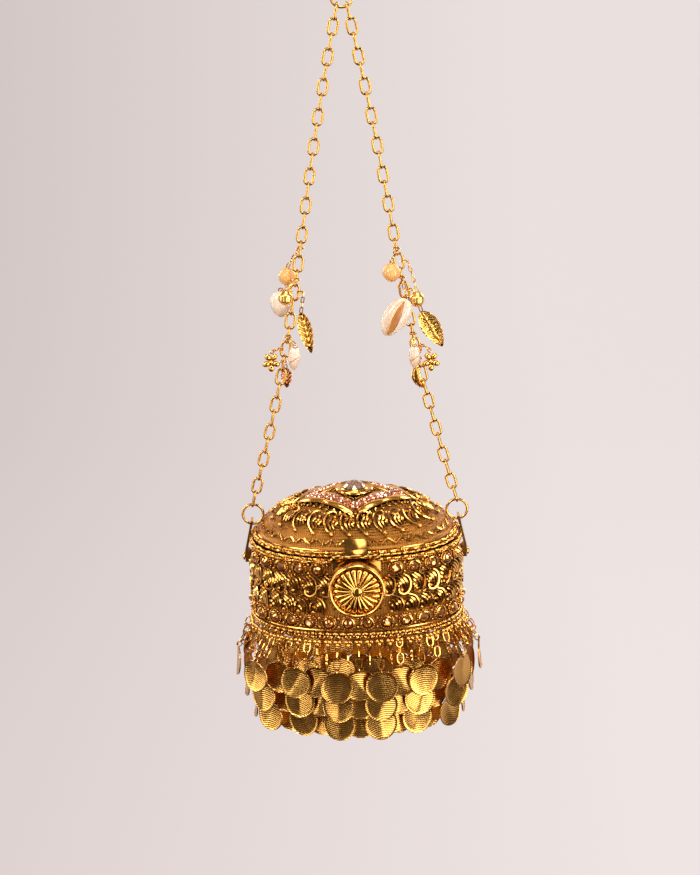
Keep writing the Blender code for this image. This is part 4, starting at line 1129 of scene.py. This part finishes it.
# A cowrie: an egg with a rolled underside, and on that side a toothed slot
def cowrieShell(width, depth, length, slot):
    steps, rows = 32, 24
    points, faces = [], []
    for r in range(rows + 1):
        phi = math.pi * r / rows
        for s in range(steps):
            a = 2 * math.pi * s / steps
            x, y, z = math.sin(phi) * math.cos(a), math.cos(phi), math.sin(phi) * math.sin(a)
            egg = 1 + 0.12 * y
            px, py, pz = x * width / 2 * egg, y * length / 2, z * depth / 2
            if slot and z > 0:
                away = abs(x + 0.12 * math.sin(2 * y)) / 0.16
                teeth = 0.8 + 0.35 * math.cos(y * 34)
                pz -= depth * 0.12 * math.exp(-(away * teeth) ** 2) * (1 - y ** 6)
            points.append((px, py, pz))
    for r in range(rows):
        for s in range(steps):
            a, b = r * steps + s, r * steps + (s + 1) % steps
            faces.append((a, b, b + steps, a + steps))
    return shape(points, faces)


charmPlan = {
    "pearl_left": {"side": -1, "link": 16, "way": (0, 1), "at": (-29.1, 7.6, 127.7), "grip": 3.5},
    "bead_left": {"side": -1, "link": 18, "way": (0, -1), "at": (-30, -6.7, 121.4), "grip": 2.7},
    "cowrie_left": {"side": -1, "link": 19, "way": (-1, 0), "at": (-32.5, 6.4, 114.6), "grip": 5.6},
    "leaf_left": {"side": -1, "link": 19, "way": (1, 0), "at": (-20.9, 0, 102.0), "turn": -0.22, "grip": 9.2},
    "shell_left": {"side": -1, "link": 22, "way": (0, -1), "at": (-26.8, -8, 92.3), "turn": 0.1, "grip": 5.2},
    "flower_left": {"side": -1, "link": 23, "way": (-1, 0), "at": (-37.9, -4.4, 89.1), "grip": 3.8},
    "petal_left": {"side": -1, "link": 24, "way": (0, 1), "at": (-31.1, 5.2, 78.3), "grip": 3.7},
    "pearl_right": {"side": 1, "link": 16, "way": (0, -1), "at": (19.9, -7.6, 132.7), "grip": 3.5},
    "bead_right": {"side": 1, "link": 17, "way": (1, 0), "at": (31.8, -6.7, 119), "grip": 2.7},
    "cowrie_right": {"side": 1, "link": 18, "way": (0, -1), "at": (21.6, -9, 111), "turn": 0.58, "grip": 9.2},
    "leaf_right": {"side": 1, "link": 19, "way": (1, 0), "at": (38.8, 0, 102.4), "turn": -0.51, "grip": 9.0},
    "shell_right": {"side": 1, "link": 22, "way": (0, -1), "at": (30, -7.4, 91.3), "grip": 5.2},
    "flower_right": {"side": 1, "link": 23, "way": (1, 0), "at": (37.9, -4.4, 87.5), "grip": 3.8},
    "crescent_right": {"side": 1, "link": 24, "way": (0, 1), "at": (33, 5.2, 77.3), "turn": -0.2,
                       "grip": 5.6},
}


charmShape = {
    "pearl": {"radius": 4.3, "claws": 7, "clawRadius": 4.38, "clawWire": 0.2, "collar": (2.1, 0.22),
              "eye": (0.8, 0.3)},
    "cowrie": {"big": (12, 7, 20.5), "small": (10.3, 6, 13), "eye": (1.1, 0.25)},
    "leaf": {"left": (6.6, 20.5, 0.9, 7), "right": (9.2, 20, 0.9, 0, 0.22)},
    "petal": (5.4, 9.8, 0.8, 5),
    "shell": {"big": (2.9, 5.9, 2.0), "small": (2.6, 5.9, 2.0), "eye": (1.2, 0.3)},
    "flower": {"core": 1.3, "petals": 5, "petal": 1.45, "across": 2.5, "high": 3.0},
    "crescent": {"radius": 14.7, "wide": 0.62, "high": 0.56, "thin": 0.2, "fat": 2.1, "bars": (2, 14, 2)},
}
jumpRing = {"radius": 1.75, "wire": 0.35, "linkPitch": 2.6, "linkWide": 1.9, "linkWire": 0.28,
            "linkOver": 0.9}


# Shapes with x across, y up and z towards the viewer, and the materials they use
def charmBody(kind, name):
    look = charmShape.get(kind)
    if kind == "pearl":
        reach = look["clawRadius"]
        parts = [ball(look["radius"], 28, 18), moved(ball(0.55, 8, 5), Matrix.Translation((0, -4.35, 0)), 1)]
        for i in range(look["claws"]):
            a = 2 * math.pi * i / look["claws"]
            for turn in (-0.5, 0.5):
                arc = [(reach * math.sin(b) * math.cos(a + turn * b), -reach * math.cos(b),
                        reach * math.sin(b) * math.sin(a + turn * b))
                       for b in np.linspace(0.12, 0.5, 6)]
                parts.append(tube(arc, look["clawWire"], 5, mat=1))
        parts.append(moved(ringLoop(*look["collar"], 28, 5, mat=1), upright((0, -3.85, 0))))
        parts.append(moved(ringLoop(*look["eye"], 12, 5, mat=1), upright((0, look["radius"], 0))))
        return parts, [pearlGold, polishedGold], "pearl"
    if kind == "bead":
        profile = [(0.01, -3.4), (1.6, -3.38), (1.9, -3.25), (3.0, -1.9), (3.25, -1.6), (3.35, -1.2),
                   (3.4, 0.0), (3.35, 1.2), (3.25, 1.6), (3.0, 1.9), (1.9, 3.25), (1.6, 3.38), (0.01, 3.4)]
        parts = [moved(turned(profile, 20), axes((0, 0, 0), (0, 0, 1), (1, 0, 0), (0, 1, 0)))]
        return parts, [beadGold], "charm_gold"
    if kind == "cowrie":
        big = name == "cowrie_right"
        size = look["big" if big else "small"]
        parts = [cowrieShell(*size, big)]
        top = size[2] / 2
        parts.append(moved(ringLoop(*look["eye"], 14, 6), Matrix.Translation((0, top + 0.2, 0)), 1))
        if big:
            # A dark strip fills the slot: painted shade of the opening into the shell
            v = np.linspace(-1, 1, 22)
            slotPath = np.stack([-0.9 * np.sin(1.5 * v) - 0.3, v * 8.8,
                                 3.2 * np.sqrt(1 - (v * 0.93) ** 2)], 1)
            parts.append(tube(slotPath, 0.3 + 1.75 * np.cos(v * 1.45) ** 0.7 * (1 - 0.25 * v), 12, flat=0.3,
                              mat=2))
            lip = slotPath + np.stack([-2.2 * np.cos(v * 1.4), 0 * v, 0.05 + 0 * v], 1)
            parts.append(tube(lip, 0.2 + 0.7 * np.cos(v * 1.45), 8, mat=3))
        return parts, [shellCream, polishedGold, streakAndSlotShade, shellLip], "shell"
    if kind == "leaf":
        return [leafBlade(*look[name.split("_")[1]])], [leafGold], "charm_gold"
    if kind == "petal":
        return [leafBlade(*look)], [roseGold], "rose_gold"
    if kind == "shell":
        parts = [ball(1.0, 18, 14, squash=look["big" if name == "shell_left" else "small"])]
        parts.append(moved(ringLoop(*look["eye"], 16, 6), upright((0, 5.2, 0)), 1))
        parts.append(moved(ball(0.9, 10, 6, squash=(1, 0.5, 1)), Matrix.Translation((0, -5.75, 0)), 1))
        # The slanting brown streak on its face
        across = np.linspace(-0.8, 0.8, 9)
        streak = [(2.3 * q, 1.6 * q - 0.8, 0.05 + 2.0 * math.sqrt(1 - 0.72 * q * q - 0.07)) for q in across]
        parts.append(tube(streak, 0.22, 6, mat=2))
        return parts, [shellCream, polishedGold, streakAndSlotShade], "shell"
    if kind == "flower":
        parts = [ball(look["core"], 12, 8)]
        for i in range(look["petals"]):
            a = 2 * math.pi * (i + 0.5) / look["petals"]
            petal = Matrix.Translation((look["across"] * math.sin(a), look["high"] * math.cos(a), 0))
            petal = petal @ Matrix.Rotation(-a, 4, "Z")
            parts.append(moved(ball(look["petal"], 14, 10, squash=(1, 1.3, 0.8)), petal))
        return parts, [polishedGold], "charm_gold"
    turns = np.linspace(0.9, -0.9, 16)
    r, wide, high = look["radius"], look["wide"], look["high"]
    spine = [(-r * wide * (math.cos(a) - 0.8), r * high * math.sin(a), 0) for a in turns]
    fat = [look["thin"] + look["fat"] * math.sin(math.pi * i / 15) for i in range(16)]
    parts = [tube(spine, fat, 10, flat=0.3)]
    for i in range(*look["bars"]):
        x, y, _ = spine[i]
        parts.append(tube([(x + fat[i] * 0.9, y, 0.3), (x, y - 0.5, 0.7), (x - fat[i] * 0.9, y - 1.0, 0.3)],
                          0.2, 5))
    return parts, [reliefGold], "charm_gold"


def buildCharms():
    sides = {-1: chainLinks(-1)[0], 1: chainLinks(1)[0]}
    for name, plan in charmPlan.items():
        middle = sides[plan["side"]][plan["link"]][0]
        way = np.array([plan["way"][0], plan["way"][1], 0.0])
        wireAt = middle + way * (chain["wide"] / 2 - chain["wire"])
        ringAt = wireAt + way * 0.5
        parts, materials, slot = charmBody(name.split("_")[0], name)
        place = Vector(plan["at"]) + Vector((0, 0, rimZ))
        spin = Matrix.Rotation(plan.get("turn", 0.0), 4, "Y")
        m = Matrix.Translation(place) @ spin @ Matrix.Translation(-place) @ upright(place)
        parts = [moved(p, m) for p in parts]
        metal = materials.index(polishedGold) if polishedGold in materials else 0
        ring = ringLoop(jumpRing["radius"], jumpRing["wire"], 20, 6)
        parts.append(moved(ring, Matrix.Translation(ringAt), metal))
        # A few small links hang the charm from its jump ring
        hook = ringAt + way * jumpRing["radius"]
        hold = np.array(place + spin.to_3x3() @ Vector((0, 0, plan["grip"] + 0.9)))
        gap = Vector(hook - hold)
        steps = max(1, round(gap.length / jumpRing["linkPitch"]))
        each = gap.length / steps
        link = ovalLink(each + jumpRing["linkOver"], jumpRing["linkWide"], jumpRing["linkWire"], 16, 6)
        up = gap.normalized()
        flat = up.cross(Vector((0, 1, 0))).normalized()
        for j in range(steps):
            x = flat if j % 2 == 0 else up.cross(flat).normalized()
            at = Vector(hold) + up * each * (j + 0.5)
            parts.append(moved(link, axes(at, x, up, x.cross(up)), metal))
        piece("charm" + "".join(w.capitalize() for w in name.split("_")), parts, materials, name, slot,
              ["charm_" + name])


# The small CAD nodes that show as they are get the finishes too
def dressFrameNodes():
    looks = {"base_plate": shadedGold, "hinge_body_leaf": shadedGold, "hinge_lid_leaf": shadedGold,
             "hinge_pin": pinSteel, "clasp_pin": pinSteel, "clasp_keeper": pinSteel, "clasp_magnet": pinSteel}
    for name, material in looks.items():
        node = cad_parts[name]
        node.data.materials.clear()
        node.data.materials.append(material)


buildDrum()
print("drum ready")
buildLid()
print("lid ready")
buildClasp()
buildLugs()
buildChain()
print("clasp and chain ready")
buildFringe()
print("skirt ready")
buildCharms()
dressFrameNodes()
print("charms ready")


# Floor, light and camera

studio = {"floorZ": -0.62, "front": 0.1, "bend": 1.2, "curve": 0.6, "top": 1.3, "half": 2.4,
          "left": (0.56, 0.475, 0.465), "right": (0.85, 0.775, 0.765), "fadeFrom": -0.8, "fadeTo": 0.2,
          "glow": 0.92}


def buildFloor():
    z, r = studio["floorZ"], studio["curve"]
    profile = [(studio["front"], z), (studio["bend"], z)]
    arc = np.linspace(0.15, math.pi / 2, 12)
    profile += [(studio["bend"] + r * math.sin(a), z + r - r * math.cos(a)) for a in arc]
    profile.append((studio["bend"] + r, studio["top"]))
    h = studio["half"]
    points = [(x, y, zz) for y, zz in profile for x in (-h, h)]
    faces = [(2 * i, 2 * i + 1, 2 * i + 3, 2 * i + 2) for i in range(len(profile) - 1)]
    mesh = bpy.data.meshes.new("floor")
    mesh.from_pydata(points, [], faces)
    mesh.polygons.foreach_set("use_smooth", [True] * len(faces))
    material, tree, shader = principled("paleFloor")
    shader.inputs["Roughness"].default_value = 0.9
    shader.inputs["Specular IOR Level"].default_value = 0.0
    # The colour runs from darker at the left to lighter at the right: painted fall-off of the light across
    # the backdrop
    place = add(tree, "TexCoord")
    split = add(tree, "SeparateXYZ")
    across = add(tree, "MapRange", {"From Min": studio["fadeFrom"], "From Max": studio["fadeTo"]})
    mix = add(tree, "Mix", {"A": opaque(studio["left"]), "B": opaque(studio["right"])}, data_type="RGBA")
    # The camera, metal and glass see the colour itself; the rest is a matt floor that takes the shadow
    glow = add(tree, "Emission")
    rays = add(tree, "LightPath")
    seen = add(tree, "Math", operation="MAXIMUM")
    through = add(tree, "Math", operation="MAXIMUM")
    share = add(tree, "Math", {1: studio["glow"]}, operation="MULTIPLY")
    both = add(tree, "MixShader")
    connect(tree, (place.outputs["Object"], split.inputs[0]), (split.outputs["X"], across.inputs["Value"]),
            (across.outputs["Result"], mix.inputs["Factor"]),
            (mix.outputs["Result"], shader.inputs["Base Color"]),
            (mix.outputs["Result"], glow.inputs["Color"]), (rays.outputs["Is Camera Ray"], seen.inputs[0]),
            (rays.outputs["Is Glossy Ray"], seen.inputs[1]), (seen.outputs[0], through.inputs[0]),
            (rays.outputs["Is Transmission Ray"], through.inputs[1]), (through.outputs[0], share.inputs[0]),
            (share.outputs[0], both.inputs["Fac"]), (shader.outputs["BSDF"], both.inputs[1]),
            (glow.outputs["Emission"], both.inputs[2]),
            (both.outputs["Shader"], tree.nodes["Material Output"].inputs["Surface"]))
    mesh.materials.append(material)
    floor = bpy.data.objects.new("floor", mesh)
    bpy.context.scene.collection.objects.link(floor)


lamps = {
    "keyLeft": {"at": (-0.7, -0.75, 0.35), "size": (0.5, 0.4), "power": 6.0},
    "keyRight": {"at": (0.75, -0.7, 0.3), "size": (0.3, 0.35), "power": 3.6},
    "frontLeft": {"at": (-0.52, -0.92, -0.42), "size": (0.12, 0.7), "power": 1.15},
    "frontRight": {"at": (0.42, -0.98, -0.45), "size": (0.3, 0.6), "power": 3.0},
    "sideRight": {"at": (0.88, -0.55, -0.3), "size": (0.3, 0.8), "power": 5.8},
    "sideLeft": {"at": (-1.0, -0.2, -0.2), "size": (0.25, 0.8), "power": 2.8},
    "top": {"at": (0.1, 0.05, 0.75), "size": (0.55, 0.25), "power": 4.0},
    "topFront": {"at": (-0.05, -0.55, 0.62), "size": (0.7, 0.22), "power": 3.2},
    "backLeft": {"at": (-0.8, 0.7, 0.1), "size": (0.35, 0.8), "power": 4.5},
    "backRight": {"at": (0.8, 0.8, 0.1), "size": (0.35, 0.8), "power": 4.5},
}
lampColor = (1.0, 0.97, 0.93)
lampTarget = (0, 0, -0.27)
sky = {"low": (0.07, 0.043, 0.025), "high": (0.26, 0.21, 0.17)}


def buildLights():
    target = Vector(lampTarget)
    for name, lamp in lamps.items():
        data = bpy.data.lights.new(name, "AREA")
        data.shape = "RECTANGLE"
        data.size, data.size_y = lamp["size"]
        data.energy = lamp["power"]
        data.color = lampColor
        obj = bpy.data.objects.new(name, data)
        obj.location = lamp["at"]
        obj.rotation_euler = (target - Vector(lamp["at"])).to_track_quat("-Z", "Y").to_euler()
        obj.visible_camera = False
        bpy.context.scene.collection.objects.link(obj)
    world = bpy.data.worlds.new("studio")
    world.use_nodes = True
    tree = world.node_tree
    place = add(tree, "TexCoord")
    split = add(tree, "SeparateXYZ")
    rise = add(tree, "MapRange", {"From Min": -0.1, "From Max": 0.9})
    mix = add(tree, "Mix", {"A": opaque(sky["low"]), "B": opaque(sky["high"])}, data_type="RGBA")
    connect(tree, (place.outputs["Generated"], split.inputs[0]), (split.outputs["Z"], rise.inputs["Value"]),
            (rise.outputs["Result"], mix.inputs["Factor"]),
            (mix.outputs["Result"], tree.nodes["Background"].inputs["Color"]))
    bpy.context.scene.world = world


view = {"at": (0.0, -1.1375, 0.1762), "down": 19.0, "roll": 1.5, "lens": 102.86, "shiftX": -3.0 / 875,
        "shiftY": -1.5 / 875}


def buildCamera():
    data = bpy.data.cameras.new("camera")
    data.lens = view["lens"]
    data.sensor_width = 36
    data.shift_x = view["shiftX"]
    data.shift_y = view["shiftY"]
    data.clip_start = 0.01
    camera = bpy.data.objects.new("camera", data)
    turn = Matrix.Rotation(math.radians(90 - view["down"]), 4, "X")
    turn = turn @ Matrix.Rotation(math.radians(-view["roll"]), 4, "Z")
    camera.matrix_world = Matrix.Translation(view["at"]) @ turn
    bpy.context.scene.collection.objects.link(camera)
    bpy.context.scene.camera = camera


buildFloor()
buildLights()
buildCamera()
bpy.context.scene.view_settings.view_transform = "Standard"
bpy.context.view_layer.update()
print("studio ready")
